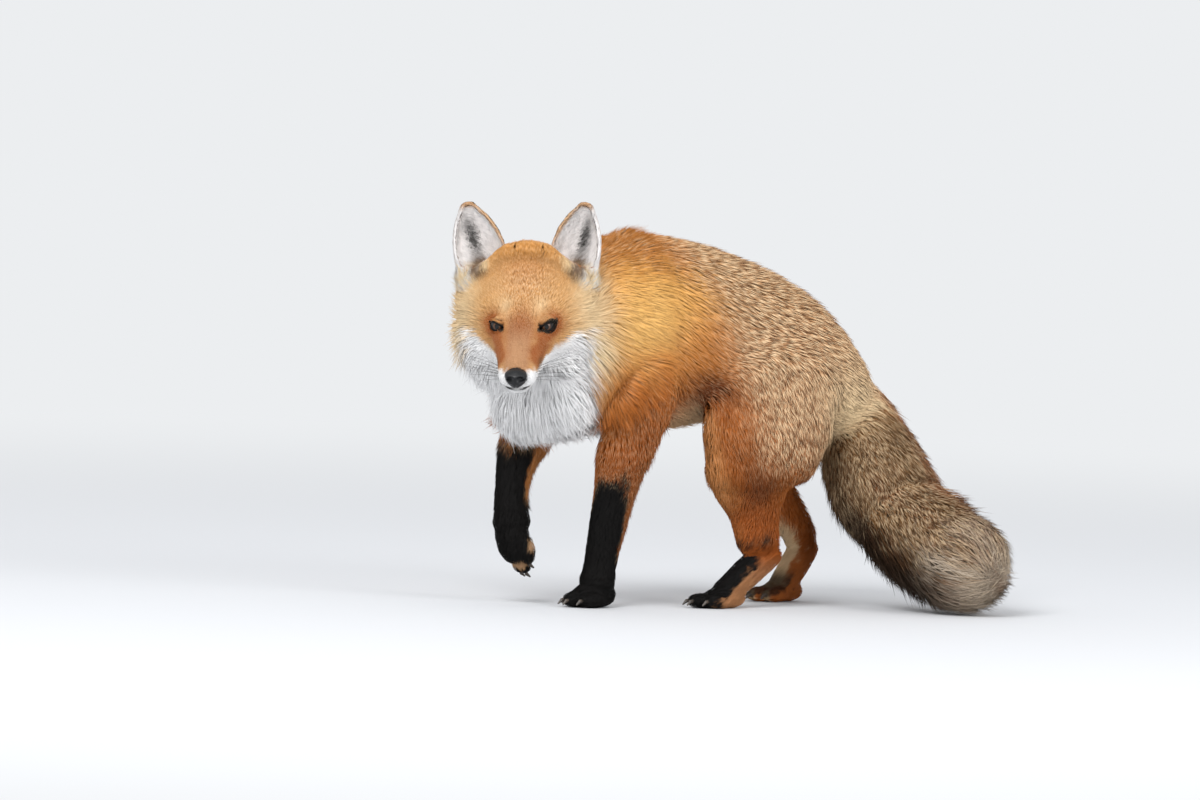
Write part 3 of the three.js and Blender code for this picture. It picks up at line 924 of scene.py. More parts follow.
def head_markings(colour, grizzle, head, is_head, beneath):
    """Russet round the eyes and down the muzzle's sides, apricot above, white below from the lips to the
    cheeks."""
    left, forward, up = head
    out = np.abs(left)
    ragged = wobble(np.stack(head, axis=1), 9, 21) * 1.6
    wavy = wobble(np.stack(head, axis=1), 34, 22) * 6 * rise(forward, -15, -45)
    colour = paint(colour, APRICOT, is_head * 1.0)
    temple = rise(out + ragged, 38, 66)
    colour = paint(colour, CREAM, is_head * temple * 0.95)
    colour = paint(colour, AMBER, is_head * rise(forward + ragged, -50, -66) * rise(up, 40, 10) * 0.3)
    forehead = spot((out, up), (0, 34), (26, 24))
    colour = paint(colour, ORANGE, is_head * forehead * 0.55)
    top = rise(up, 30, 56) * rise(out, 46, 22)
    colour = paint(colour, AMBER, is_head * top * 0.5)
    brow = spot((out, up + ragged), (19.5, 12), (8, 6)) * rise(forward, -36, -16)
    colour = paint(colour, CREAM, is_head * brow * 0.6)
    bridge = rise(out, 17, 9) * rise(forward, -4, 18)
    colour = paint(colour, SAND, is_head * bridge)
    between = spot((out, forward, up), (0, 6, -1), (14, 20, 15))
    colour = paint(colour, RUST, is_head * between * 0.9)
    colour = paint(colour, BROWN, is_head * between * 0.3)
    round_eye = spot((out + ragged, up), (29, -8), (14, 10.5)) * rise(forward, -34, -14)
    muzzle_side = spot((out + ragged, up), (19, -17), (8.5, 10))
    muzzle_side = muzzle_side * rise(forward, -16, 2) * rise(forward, 66, 48)
    colour = paint(colour, RUST, is_head * np.clip(1.55 * np.maximum(round_eye, muzzle_side), 0, 0.95))
    white_below = -28 + 7 * rise(forward, 52, 72) - 0.8 * np.maximum(out - 48, 0)
    white = rise(up - white_below + ragged + wavy, 3 + 8 * rise(forward, -30, -60), -2)
    white = white * rise(out + ragged * 2, 66, 54)
    white = white * np.maximum(rise(forward + ragged * 2, -54, -40), beneath)
    colour = paint(colour, WHITE, is_head * white)
    whisker_root = spot((out, forward, up), (22, 43, -25), (5, 8, 4.5))
    colour = paint(colour, GREY_BROWN * 0.6, is_head * whisker_root * 0.9)
    foot = ear_foot(np.stack(head, axis=1))
    in_cup = foot * rise(up + ragged - cup_edge(out), -2, 4)
    colour = paint(colour, CREAM, is_head * foot * rise(up + ragged - cup_edge(out), -13, -3) * 0.7)
    colour = paint(colour, PALE_GREY, is_head * in_cup * 0.9)
    # Painted shade: dark grey-brown in the notch at the foot of each ear.
    base = spot((out, up), (53, 26), (9, 7)) * rise(forward, -40, -50) * rise(forward, -78, -66)
    colour = paint(colour, GREY_BROWN * 0.6, is_head * np.minimum(base * 1.2, 0.9))
    ticking = 0.2 + 0.5 * spot((out, forward, up), (0, -26, 24), (30, 34, 24))
    return colour, np.where(is_head > 0, ticking * (1 - np.maximum(white, foot)), grizzle)


def cup_edge(out):
    """How far up the head the lower edge of an ear's cup lies, this far out from the head's middle."""
    return np.where(out < 42, 39 + 1.9 * (42 - out), 39 - 1.27 * (out - 42))


def ear_markings(colour, grizzle, head, facing, is_ear):
    """Black backs, pale insides with a dark streak down the middle, and golden rims."""
    left, _, up = head
    out = np.abs(left)
    along = (up - 30) / 66
    streak = spot((out - 55 - 16 * along, along), (0, 0.38), (5.5, 0.34))
    colour = paint(colour, WHITE, is_ear * 0.9)
    inner_edge = 19 + 12 * along + 28 * along**2
    colour = paint(colour, APRICOT, is_ear * rise(out - inner_edge, 4.5, 1.5) * 0.85)
    colour = paint(colour, TAN, is_ear * rise(along, 0.86, 0.96))
    colour = paint(colour, BLACK, is_ear * np.minimum(streak * 1.15, 0.95))
    colour = paint(colour, CREAM, is_ear * rise(along, 0.02, -0.1))
    # Painted shade: the same dark grey-brown in the notch at the foot of the ear.
    base = spot((out, along), (53, -0.06), (9, 0.11))
    colour = paint(colour, GREY_BROWN * 0.6, is_ear * np.minimum(base * 1.2, 0.9))
    behind = rise(facing, -0.1, -0.45)
    colour = paint(colour, ORANGE, is_ear * behind)
    colour = paint(colour, BLACK, is_ear * behind * rise(along, 0.04, 0.26))
    return colour, np.where(is_ear > 0, 0.05, grizzle)


def facing_down_or_on(normals):
    """1 where the skin faces ahead of the head or under it, and 0 on the neck's and the cheeks' far sides."""
    return rise(np.maximum(normals @ HEAD_FORWARD, -(normals @ HEAD_UP) - 0.25), -0.2, 0.1)


def body_markings(places, normals, owner):
    """Gold over the shoulder, orange below it, russet under the belly, and grizzled from the loin back; a
    white throat and chest."""
    x, y, z = (places / MM).T
    left, forward, up = on_head(places).T
    across = np.abs(x - MIDLINE)
    ragged = wobble(places, 26 * MM, 3) * 7 + wobble(places, 9 * MM, 4) * 3
    colour = np.tile(ORANGE, (len(places), 1))
    colour = paint(colour, AMBER, rise(z + ragged, 290, 335))
    gold = spot((y + ragged, z + ragged - 0.25 * (y + 90)), (-114, 314), (66, 42))
    colour = paint(colour, GOLD, gold * 1.15)
    ruff = spot((y + ragged * 0.5, z), (-178, 300), (24, 64))
    colour = paint(colour, CREAM, ruff * 0.95)
    withers = rise(z + ragged, 345, 372) * rise(y, 10, -40)
    colour = paint(colour, RUSSET, withers * 0.55)
    low = rise(z + ragged, 268, 222) * rise(y, -160, -100)
    colour = paint(colour, RUSSET, low * 0.8)
    loin = rise(y + 0.5 * (z - 300) + ragged * 1.5, -45, 45) * rise(z + ragged, 225, 268)
    haunch = np.clip(loin + rise(y + ragged, 0, 70) * rise(z, 130, 190), 0, 1)
    colour = paint(colour, TAN, haunch * 0.8)
    locks = rise(wobble(places * np.array([1, 0.6, 1]), 20 * MM, 11), 0.1, 0.7)
    colour = paint(colour, BROWN, haunch * locks * 0.35)
    # Painted shade: dark brown in the fold of the flank, in front of the thigh.
    flank_fold_shade = spot((y + ragged, z), (-16, 236), (36, 24))
    colour = paint(colour, DARK_BROWN, np.minimum(flank_fold_shade * 1.2, 1))
    rump = spot((y, z), (168, 216), (44, 44))
    colour = paint(colour, CREAM, rump * 0.95)
    belly = rise(normals[:, 2] + ragged * 0.02, -0.35, -0.95) * rise(across, 60, 30)
    colour = paint(colour, CREAM, belly * 0.7 * rise(y, -110, 10))
    half_bib = 55 + 10 * rise(up, -112, -140)
    bib = rise(np.abs(left) + ragged * 0.8, half_bib + 4, half_bib - 5) * rise(up + ragged, -40, -54)
    bib = bib * rise(forward, -105, -70) * (owner != "trunk") * facing_down_or_on(normals)
    between_arms = rise(normals[:, 2] + ragged * 0.02, -0.35, -0.8)
    between_arms = between_arms * rise(y + ragged, -50, -110) * rise(across, 50, 28)
    on_arm = np.char.startswith(owner, "foreleg")
    white = np.maximum(bib * (1 - on_arm * rise(up + ragged, -138, -124)), between_arms)
    white = white * (1 - (owner == "foreleg_right_arm"))
    colour = paint(colour, WHITE, white)
    grizzle = np.clip(haunch * 0.95 + 0.3 * withers + 0.15, 0, 1) * (1 - white) * (1 - 0.65 * rump)
    return colour, grizzle


def leg_markings(colour, grizzle, places, normals, owner):
    """Black stockings down the front of the forelegs and over the hind feet, rusty brown behind them."""
    _, y, z = (places / MM).T
    ragged = wobble(places, 14 * MM, 5) * 5 + wobble(places, 5 * MM, 6) * 3
    behind = rise(normals[:, 1], 0.05, 0.65)
    on = {name: np.isin(owner, nodes) for name, nodes in LEGS.items()}
    hind = on["left_hind"] | on["right_hind"]
    front = hind * rise(y + ragged + 0.35 * (z - 145), 18, 0)
    colour = paint(colour, APRICOT, front * 0.4)
    colour = paint(colour, RUSSET, hind * rise(z + ragged, 222, 178) * (1 - front) * 0.35)
    seat = hind * rise(normals[:, 1], 0.35, 0.85) * rise(z, 140, 185)
    colour = paint(colour, CREAM, seat * 0.75)
    trouser = hind * rise(z + ragged + 0.35 * (y - 30), 210, 150)
    trouser = trouser * rise(normals[:, 1], 0.9, 0.2) * (1 - 0.6 * front)
    colour = paint(colour, BROWN, trouser * 0.85)
    colour = paint(colour, DARK_BROWN, trouser * spot((y, z), (40, 128), (24, 34)) * 0.9)
    lower = hind * rise(z + ragged, 125, 95)
    colour = paint(colour, RUST, lower * (0.85 - 0.35 * front))
    colour = paint(colour, TAN, lower * rise(z, 62, 34) * 0.45)
    grizzle = grizzle * (1 - 0.6 * np.maximum(trouser, lower))
    far = on["right_hind"] * rise(z + ragged, 230, 170)
    colour = paint(colour, RUSSET, far * 0.85)
    inner = on["right_hind"] * rise(normals[:, 1] + ragged * 0.012, -0.2, -0.65) * rise(z, 140, 95)
    colour = paint(colour, DARK_BROWN, on["right_hind"] * spot((y, z), (168, 62), (12, 26)) * 0.7)
    colour = paint(colour, CREAM, inner * 0.7)
    over_foot = rise(normals[:, 2] * 0.75 - normals[:, 1] * 0.65 + ragged * 0.02, 0.05, 0.35)
    over_toes = np.maximum(over_foot, rise(y + ragged, 8, -5))
    stocking = np.char.startswith(owner, "hindfoot_left") * over_toes * rise(y, 58, 48)
    colour = paint(colour, BLACK, stocking)
    colour = paint(colour, BLACK, on["left_hind"] * spot((y, z), (56, 72), (7, 7)))
    far_toes = np.char.startswith(owner, "hindfoot_right") * over_foot * rise(z, 40, 24)
    colour = paint(colour, BLACK, far_toes * 0.85)

    forelegs = on["left_fore"] | on["right_fore"]
    colour = paint(colour, RUST, forelegs * rise(z + ragged, 235, 165) * 0.85)
    colour = paint(colour, BROWN, forelegs * behind * rise(z, 200, 150) * 0.85)
    colour = paint(colour, ORANGE, on["right_fore"] * rise(normals[:, 0], 0.0, 0.6) * 0.8)
    colour = paint(colour, CREAM, on["left_fore"] * rise(normals[:, 0], -0.4, -0.8) * rise(z, 150, 170) * 0.4)
    grizzle = np.where(forelegs, 0.25, grizzle)
    peak = rise(normals[:, 0] * 0.8 - normals[:, 1] * 0.6, 0.2, 0.8)
    top = np.where(on["left_fore"], 114 + 28 * peak - 54 * behind, 172 - 62 * behind)
    black = forelegs * rise(z + ragged, top + 5, top - 6)
    patches = spot((y, z), (-194, 62), (7, 8)) + spot((y, z), (-200, 42), (8, 6))
    patches = patches + 0.8 * spot((y, z), (-191, 105), (5, 6))
    toes = on["right_fore"] * rise(patches + ragged * 0.04, 0.4, 0.8) * 0.85
    colour = paint(colour, BLACK, black)
    colour = paint(colour, TAN, toes)
    return colour, grizzle * (1 - black) * (1 - stocking)


TAIL_OUTSIDE = unit(np.array([-0.2, 0.85, 0.45]))


def along_tail(places):
    """How far along the tail each place is, from 0 at its root to 1 at its tip."""
    centres = [middle(node) for node in TAIL]
    start = centres[0] * 1.5 - centres[1] * 0.5
    end = centres[2] * 1.5 - centres[1] * 0.5
    return np.clip((places - start) @ (end - start) / ((end - start) @ (end - start)), 0, 1)


def tail_markings(colour, grizzle, places, normals, owner):
    """A pale root, grizzled brown down its length with a black fringe below, and a pale grey tip."""
    is_tail = np.isin(owner, TAIL).astype(float)
    along = along_tail(places)
    ragged = wobble(places, 22 * MM, 8) * 0.15 + wobble(places, 8 * MM, 9) * 0.1
    colour = paint(colour, CREAM, is_tail)
    colour = paint(colour, GREY_BROWN, is_tail * rise(along + ragged * 0.4, 0.0, 0.13))
    locks = rise(wobble(places, 24 * MM, 10), 0.1, 0.7)
    colour = paint(colour, DARK_BROWN, is_tail * locks * rise(along, 0.15, 0.35) * 0.6)
    outer = normals @ TAIL_OUTSIDE
    colour = paint(colour, RUST, is_tail * rise(outer + ragged, 0.3, 0.8) * rise(along, 0.85, 0.6) * 0.8)
    below = dots(normals, unit(np.array([-0.25, -0.75, -0.6])))
    fringe = is_tail * rise(below + ragged, 0.42, 0.78) * rise(along, 0.2, 0.42) * rise(along, 0.97, 0.88)
    colour = paint(colour, BLACK, fringe * 0.85)
    whorl = rise(along + ragged * 0.7, 0.76, 0.96)
    whorl = whorl * rise(below + ragged, 1.1, 0.75)
    colour = paint(colour, WHORL_GREY, is_tail * whorl * (0.9 - 0.35 * locks))
    gland = is_tail * spot((along, outer), (0.2, 0.9), (0.08, 0.35))
    colour = paint(colour, BLACK, gland * 0.7)
    ticking = 0.65 * (1 - fringe) * (1 - 0.5 * whorl) * rise(along, -0.05, 0.15)
    return colour, np.where(is_tail > 0, ticking, grizzle)


def markings(places, normals, owner):
    """The fox's colour at each point, and how grizzled its hairs are."""
    head = on_head(places)
    left, forward, up = head.T
    is_head = (owner == "head").astype(float)
    is_ear = np.char.startswith(owner, "ear").astype(float)
    facing = normals @ HEAD_FORWARD
    colour, grizzle = body_markings(places, normals, owner)
    colour, grizzle = leg_markings(colour, grizzle, places, normals, owner)
    colour, grizzle = tail_markings(colour, grizzle, places, normals, owner)
    colour, grizzle = head_markings(colour, grizzle, (left, forward, up), is_head, facing_down_or_on(normals))
    for side in (1, -1):
        rims = is_head * on_the_rims(places, side, 0.7)
        colour = paint(colour, BLACK, rims)
        grizzle = grizzle * (1 - rims)
    lip_line = np.exp(-((from_the_mouth(head) / 2.0) ** 2)) * rise(forward, 62, 70)
    colour = paint(colour, BLACK, is_head * lip_line)
    return ear_markings(colour, grizzle, (left, forward, up), facing, is_ear)


# ---- the face ----------------------------------------------------------------------------------------------
def face_relief(head):
    """How high the skin stands over the plain form of the head, in mm: the brows, the hollows at the eyes'
    inner corners, the whisker pads with the groove between them, and the line of the mouth."""
    left, forward, up = head.T
    out = np.abs(left)
    height = 4.0 * spot((out, forward, up), (19, 0, 10), (12, 16, 6))
    height -= 2.2 * spot((out, forward, up), (13, 14, -8), (5, 9, 5))
    height += 1.8 * spot((out, forward, up), (13, 60, -31), (7, 13, 6))
    height -= 1.5 * spot((left, up), (0, -34), (1.3, 4)) * rise(forward, 60, 68)
    height -= 2.0 * np.exp(-((from_the_mouth(head) / 1.5) ** 2))
    return height - 5.0 * rise(in_nose_pads(head), 1.0, 0.8)


def in_nose_pads(head):
    """How far out each place is from the middle of the nose's pad, where 1 is the pad's surface."""
    return np.linalg.norm((head - np.array(NOSE_MIDDLE)) / np.array(NOSE_HALF), axis=1)


SOCKET_DEPTH = 2.5  # mm behind the eyeball's middle
SOCKET_HALF = (14, 9)  # mm, half as wide and as high
SOCKET_FRONT = 25  # mm ahead of the eyeball's middle, past which nothing is pressed in


def sink_behind_the_lids(places):
    """Presses the skin in behind each eyeball and its lids."""
    for side in (1, -1):
        at = by_the_eye(places, side)
        reach = np.hypot(at[:, 0] / SOCKET_HALF[0], at[:, 1] / SOCKET_HALF[1])
        out = at[:, 2]
        bottom = -SOCKET_DEPTH + (out + SOCKET_DEPTH) * rise(reach, 0.62, 0.9)
        in_reach = (reach < 1) & (out > -SOCKET_DEPTH) & (out < SOCKET_FRONT)
        sunk = np.where(in_reach, np.minimum(out, bottom), out)
        places = places + ((sunk - out) * MM)[:, None] * eye_directions(side)[2]
    return places


LIP_POINTS, LIP_SIDES = 49, 6


def lips(skin_tree):
    """The dark edge of the closed lips, a thin roll from one corner of the mouth round the front to the
    other."""
    measure = np.linspace(-1, 1, LIP_POINTS)
    corners = np.array(MOUTH, float)
    gone = np.concatenate([[0], np.cumsum(np.linalg.norm(np.diff(corners, axis=0), axis=1))])
    share = np.abs(measure) * gone[-1]
    line = np.stack([np.interp(share, gone, corners[:, i]) for i in range(3)], axis=1)
    line[:, 0] *= np.sign(measure)
    for _ in range(6):  # round off the line's corners
        line[1:-1] = (line[:-2] + 2 * line[1:-1] + line[2:]) / 4
    found = [skin_tree.find_nearest(from_head(*place))[:2] for place in line]
    at, out = np.array([hit[0] for hit in found]), np.array([hit[1] for hit in found])
    at = at + out * ((0.2 + 1.1 * rise(np.abs(measure), 0.45, 0.15)) * MM)[:, None]
    onward = unit(np.gradient(at, axis=0))
    out = unit(out - onward * dots(out, onward)[:, None])
    beside = np.cross(onward, out)
    half = (0.15 + 0.8 * rise(np.abs(measure), 0.42, 0.12)) * MM
    turns = np.arange(LIP_SIDES) / LIP_SIDES * math.tau
    rings = [at + (beside * math.cos(t) * 0.8 + out * math.sin(t) * 1.6) * half[:, None] for t in turns]
    places = np.stack(rings, axis=1).reshape(-1, 3)
    places = np.concatenate([places, at[:1], at[-1:]])
    last = LIP_POINTS * LIP_SIDES
    faces = []
    for i in range(LIP_POINTS - 1):
        for k in range(LIP_SIDES):
            a, b = i * LIP_SIDES + k, i * LIP_SIDES + (k + 1) % LIP_SIDES
            faces += [(a, a + LIP_SIDES, b + LIP_SIDES), (a, b + LIP_SIDES, b)]
    for k in range(LIP_SIDES):
        a, b = k, (k + 1) % LIP_SIDES
        faces += [(last, a, b), (last + 1, last - LIP_SIDES + b, last - LIP_SIDES + a)]
    return places, np.array(faces)


LID_POINTS = 72
LID_ROWS = (  # mm past the opening's edge, mm over the eyeball or None on the skin, and the tear duct's share
    (-0.5, -1.5, 0), (0, 0.15, 0), (0.5, 0.9, 0.6), (1.6, 1.2, 1), (4.2, None, 1), (7.5, None, 0.6),
)


def lids(side, skin_tree):
    """An eye's two lids as one ring round the opening: a thin edge on the eyeball, a crest, and a slope that
    runs into the skin. At the inner corner it draws out into the tear duct."""
    directions, centre = eye_directions(side), eye_centre(side)
    turn = np.arange(LID_POINTS) / LID_POINTS * math.tau
    tear = np.exp(-(((turn - math.pi) / 0.3) ** 2))
    rows = []
    for past, radius, drawn in LID_ROWS:
        across = (EYE_HALF_WIDTH + past) * np.cos(turn) - 2.2 * drawn * tear
        rising = np.sin(turn)
        half = np.where(rising > 0, EYE_ABOVE, EYE_BELOW) * rising**2 + past * np.abs(rising)
        above = np.sign(rising) * half - 0.8 * drawn * tear
        if radius is None:
            start = centre + (np.c_[across, above, np.full(LID_POINTS, 40)] * MM) @ directions
            hits = [skin_tree.ray_cast(place, -directions[2])[0] for place in start.tolist()]
            level = np.array([dots(np.array(hit) - centre, directions[2]) / MM for hit in hits])
            for _ in range(12):
                level = (np.roll(level, 1) + 2 * level + np.roll(level, -1)) / 4
            out = level - 0.7 if past > 5 else (level + rows[-1][:, 2]) / 2 + 0.6
        else:
            out = np.sqrt(np.maximum((EYE_RADIUS + radius) ** 2 - across**2 - above**2, 1.0))
        rows.append(np.c_[across, above, out])
    places = centre + (np.concatenate(rows) * MM) @ directions
    faces = []
    for row in range(len(rows)):
        for i in range(LID_POINTS):
            a, b = row * LID_POINTS, (row + 1) % len(rows) * LID_POINTS
            j = (i + 1) % LID_POINTS
            ring = [a + i, a + j, b + j, b + i]
            faces.append(ring if side > 0 else ring[::-1])
    return places, np.array(faces)


def bare_skin(places):
    """1 on bare black skin, the rims of the lids and the lips, and 0 under fur."""
    head = on_head(places)
    bare = np.exp(-((from_the_mouth(head) / 2.4) ** 4)) * rise(head[:, 1], 60, 70)
    bare = np.maximum(bare, rise(in_nose_pads(head), 1.06, 1.0))
    for side in (1, -1):
        bare = np.maximum(bare, on_the_rims(places, side))
    return np.clip(bare, 0, 1)


def behind_the_lids(places):
    """True where the skin is hidden behind an eyeball and its lids."""
    hidden = np.zeros(len(places), bool)
    for side in (1, -1):
        at = by_the_eye(places, side)
        hidden |= (past_the_lids(places, side) < 4.5) & (at[:, 2] < 0.2) & (at[:, 2] > -12)
    return hidden


def ball(name, segments, rings, half_sizes, centre, directions, shape=None):
    """A sphere made into a small part of the face: given its half sizes along three directions, and then
    shaped by shape()."""
    bpy.ops.object.select_all(action="DESELECT")
    bpy.ops.mesh.primitive_uv_sphere_add(segments=segments, ring_count=rings, radius=1, location=(0, 0, 0))
    made = bpy.context.active_object
    made.name = name
    round_places = vertex_places(made.data)[:, [0, 2, 1]]  # its poles fore and aft
    placed = round_places * np.array(half_sizes)
    if shape is not None:
        placed = shape(placed)
    made.data.vertices.foreach_set("co", (centre + (placed * MM) @ directions).astype(np.float32).ravel())
    bpy.ops.object.mode_set(mode="EDIT")
    bpy.ops.mesh.select_all(action="SELECT")
    bpy.ops.mesh.normals_make_consistent(inside=False)
    bpy.ops.object.mode_set(mode="OBJECT")
    bpy.ops.object.shade_smooth()
    return made, placed


def nose_shape(placed):
    """The nose's pad: broad and flat on top, narrower below, with a comma-shaped nostril on each side and a
    groove down the middle. Its second direction is up and its third forward."""
    across, up, forward = placed.T
    out = np.abs(across)
    across = across * (1 + 0.024 * (up - 1))
    up = up - 1.8 * rise(up, 4, 10)
    front = rise(forward, -2, 4)
    nostril = spot((out, up), (4.8, 2.4), (2.6, 2.4)) + 0.9 * spot((out, up), (8.4, 0.4), (2.8, 1.2))
    groove = np.exp(-((across / 0.8) ** 2)) * rise(up, 5, 1)
    wing = spot((out, up), (7.2, 5.6), (2.8, 1.8)) + spot((out, up), (4.6, -1.8), (3.0, 1.4))
    forward = forward + front * (0.8 * wing - 5.5 * np.minimum(nostril, 1) - 1.2 * groove)
    return np.c_[across, up, forward]


def make_nose():
    nose, _ = ball(
        "nose_pad", 72, 64, (NOSE_HALF[0], NOSE_HALF[2], NOSE_HALF[1]), from_head(*NOSE_MIDDLE),
        np.array([HEAD_LEFT, HEAD_UP, HEAD_FORWARD]), nose_shape,
    )
    nose.data.materials.append(nose_leather())
    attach(nose, "root")
    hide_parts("nose")


CORNEA_RADIUS, CORNEA_BULGE = 6.4, 0.7


def make_eye(side, material):
    """An eyeball with its clear front bulging a little, and where each point lies from the pupil's middle."""
    gaze = unit(HEAD_FORWARD * 0.88 + HEAD_LEFT * 0.20 * side + HEAD_UP * 0.30)
    right = unit(HEAD_LEFT - gaze * dots(HEAD_LEFT, gaze))
    axes = np.array([right, unit(np.cross(gaze, right)), gaze])
    axes[1] *= np.sign(dots(axes[1], HEAD_UP))

    def bulge(placed):
        from_axis = np.hypot(placed[:, 0], placed[:, 1])
        front = placed[:, 2] > 0
        lift = CORNEA_BULGE * rise(from_axis, CORNEA_RADIUS, 1.5) * front
        return placed * (1 + lift / EYE_RADIUS)[:, None]

    name = "left" if side > 0 else "right"
    eye, placed = ball("eyeball_" + name, 64, 40, (EYE_RADIUS,) * 3, eye_centre(side), axes, bulge)
    write_attribute(eye.data, "gaze", "FLOAT_VECTOR", placed)
    eye.data.materials.append(material)
    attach(eye, "root")
    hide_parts("eye_" + name)


WHISKER_ROWS = ((-26.5, 3), (-29.0, 4), (-32.0, 4), (-34.5, 3))  # each row's height, and its whiskers
WHISKER_STATIONS = 12
WHISKER_RADIUS = (0.22 * MM, 0.04 * MM)  # at the root and at the tip


def make_whiskers():
    """Stiff dark whiskers from the pads of the muzzle, each a tapering rod."""
    chance = np.random.default_rng(77)
    tree = hide.tree
    roots, ways, lengths = [], [], []
    for side in (1, -1):
        for row, (up, count) in enumerate(WHISKER_ROWS):
            for i in range(count):
                forward = 64 - 6.2 * i - 1.5 * (row % 2)
                start = Vector(from_head(side * 40, forward, up))
                hit = tree.ray_cast(start, Vector(HEAD_LEFT * -side))[0]
                roots.append(np.array(hit))
                aim = HEAD_LEFT * side * chance.uniform(0.75, 0.95) - HEAD_FORWARD * (0.42 + 0.07 * i)
                ways.append(unit(aim + HEAD_UP * (0.16 - 0.15 * row + chance.normal() * 0.07)))
                lengths.append((34 + 7.5 * i + chance.uniform(-5, 8)) * MM)
    roots, ways, lengths = np.array(roots), np.array(ways), np.array(lengths)
    count = len(roots)
    share = np.linspace(0, 1, WHISKER_STATIONS)
    droop = -HEAD_UP * 0.16 - HEAD_FORWARD * 0.2
    reach = ways[:, None] * share[:, None] + droop * share[:, None] ** 2
    line = roots[:, None] + reach * lengths[:, None, None]
    line[:, 0] = roots - ways * 2 * MM
    sideways = unit(np.cross(ways, HEAD_UP))
    above = np.cross(sideways, ways)
    radius = np.interp(share, (0, 1), WHISKER_RADIUS)
    spokes = [(1, 0), (0, 1), (-1, 0), (0, -1)]
    points = np.stack([
        line + (sideways * a + above * b)[:, None] * radius[:, None] for a, b in spokes
    ], axis=2).reshape(count, -1, 3)
    ends = [line[:, :1] - ways[:, None] * MM, line[:, -1:] + ways[:, None] * MM]
    points = np.concatenate([points, *ends], axis=1)
    last = WHISKER_STATIONS * 4
    pattern = []
    for s in range(WHISKER_STATIONS - 1):
        for k in range(4):
            a, b = 4 * s + k, 4 * s + (k + 1) % 4
            pattern += [(a, b, b + 4), (a, b + 4, a + 4)]
    for k in range(4):
        a, b = k, (k + 1) % 4
        pattern += [(last, b, a), (last + 1, last - 4 + a, last - 4 + b)]
    triangles = np.arange(count)[:, None, None] * (last + 2) + np.array(pattern)
    whiskers = mesh_of("whiskers", points.reshape(-1, 3), triangles.reshape(-1, 3))
    only_selected(whiskers)
    bpy.ops.object.mode_set(mode="EDIT")
    bpy.ops.mesh.select_all(action="SELECT")
    bpy.ops.mesh.normals_make_consistent(inside=False)
    bpy.ops.object.mode_set(mode="OBJECT")
    whiskers.data.materials.append(whisker_hair())
    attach(whiskers, "root")


# ---- tufts -------------------------------------------------------------------------------------------------
def standing_out(places, normals, owner):
    """How far the hairs' tips stand out past the lie of the coat, in mm."""
    _, y, z = (places / MM).T
    head = on_head(places)
    is_head, is_tail, is_neck = owner == "head", np.isin(owner, TAIL), owner == "neck"
    legs = np.char.find(owner, "leg_") > 0
    under_jaw = rise(head[:, 2], -45, -65) * rise(head[:, 1], 50, 10)
    lower_cheek = cheeks(head) * rise(head[:, 2], -25, -55)
    on_face = 0.4 + 13 * np.maximum(cheeks(head), under_jaw) + 6 * lower_cheek + 2.5 * crown(head)
    stand = np.where(is_head, on_face, 2.0)
    throat = rise(head[:, 2], -20, -60) * rise(head[:, 1], -90, -50)
    stand = np.where(is_neck, 2.5 + 6.0 * throat + 3.0 * throat * rise(z, 250, 200), stand)
    topline = 3.5 * rise(normals[:, 2], 0.4, 0.9) * rise(y, -60, 60)
    stand = np.where(owner == "trunk", 1.5 + topline + 3.5 * rise(normals[:, 2], -0.3, -0.8), stand)
    waist = np.exp(-(((along_tail(places) - 0.45) / 0.16) ** 2)) * rise(normals @ TAIL_OUTSIDE, 0.1, 0.7)
    stand = np.where(is_tail, 6.0 + 12.0 * waist + 7.0 * rise(normals[:, 2], 0.0, -0.6), stand)
    stand = np.where(legs, 1.0 + 4.0 * rise(normals[:, 1], 0.3, 0.8) * rise(z, 60, 110), stand)
    stand = np.where(np.char.find(owner, "foot") >= 0, 0.4, stand)
    return np.where(np.isin(owner, EARS), 0.8, stand)


class Hide:
    """The finished skin with all that the coat needs to know at each of its points."""

    def __init__(self, surface, owner):
        self.surface = surface
        self.owner = owner
        self.places = surface.places
        self.triangles = surface.triangles
        self.normal = surface.normals()
        self.lie = lie_of_coat(surface, owner, self.normal)
        coat = surface.smoothed(coat_on(surface.places, owner), 20)
        self.loft, self.length, self.width = (coat[:, i] * MM for i in (1, 2, 3))
        self.wander = np.radians(coat[:, 4])
        self.stand = surface.smoothed(standing_out(surface.places, self.normal, owner), 6) * MM
        self.bare = bare_skin(self.places)
        self.density = (1 - self.bare) * ~behind_the_lids(self.places) / (self.length * self.width)
        self.density *= 1 + 0.7 * (owner == "head") * crown(on_head(self.places))
        self.colour, self.grizzle = markings(self.places, self.normal, owner)
        self.tree = BVHTree.FromPolygons(self.places.tolist(), self.triangles.tolist())
        a, b, c = (self.places[self.triangles[:, i]] for i in range(3))
        self.area = np.linalg.norm(np.cross(b - a, c - a), axis=1) / 2

    def under(self, places):
        """The skin's place that is nearest to each of these, and the number of a point beside it."""
        found = [self.tree.find_nearest(place) for place in places.tolist()]
        return np.array([hit[0] for hit in found]), self.triangles[[hit[2] for hit in found], 0]


def unwrapped(hide, faces):
    """A flat layout of these faces of the skin, as each triangle's three corners from 0 to 1."""
    used, renumbered = np.unique(hide.triangles[faces], return_inverse=True)
    piece = mesh_of("layout", hide.places[used], renumbered.reshape(-1, 3))
    only_selected(piece)
    bpy.ops.object.mode_set(mode="EDIT")
    bpy.ops.mesh.select_all(action="SELECT")
    bpy.ops.uv.smart_project(angle_limit=LAYOUT_ANGLE, island_margin=LAYOUT_MARGIN)
    bpy.ops.object.mode_set(mode="OBJECT")
    corners = np.empty(len(faces) * 6, np.float32)
    piece.data.uv_layers.active.data.foreach_get("uv", corners)
    bpy.data.meshes.remove(piece.data)
    return corners.reshape(-1, 3, 2)


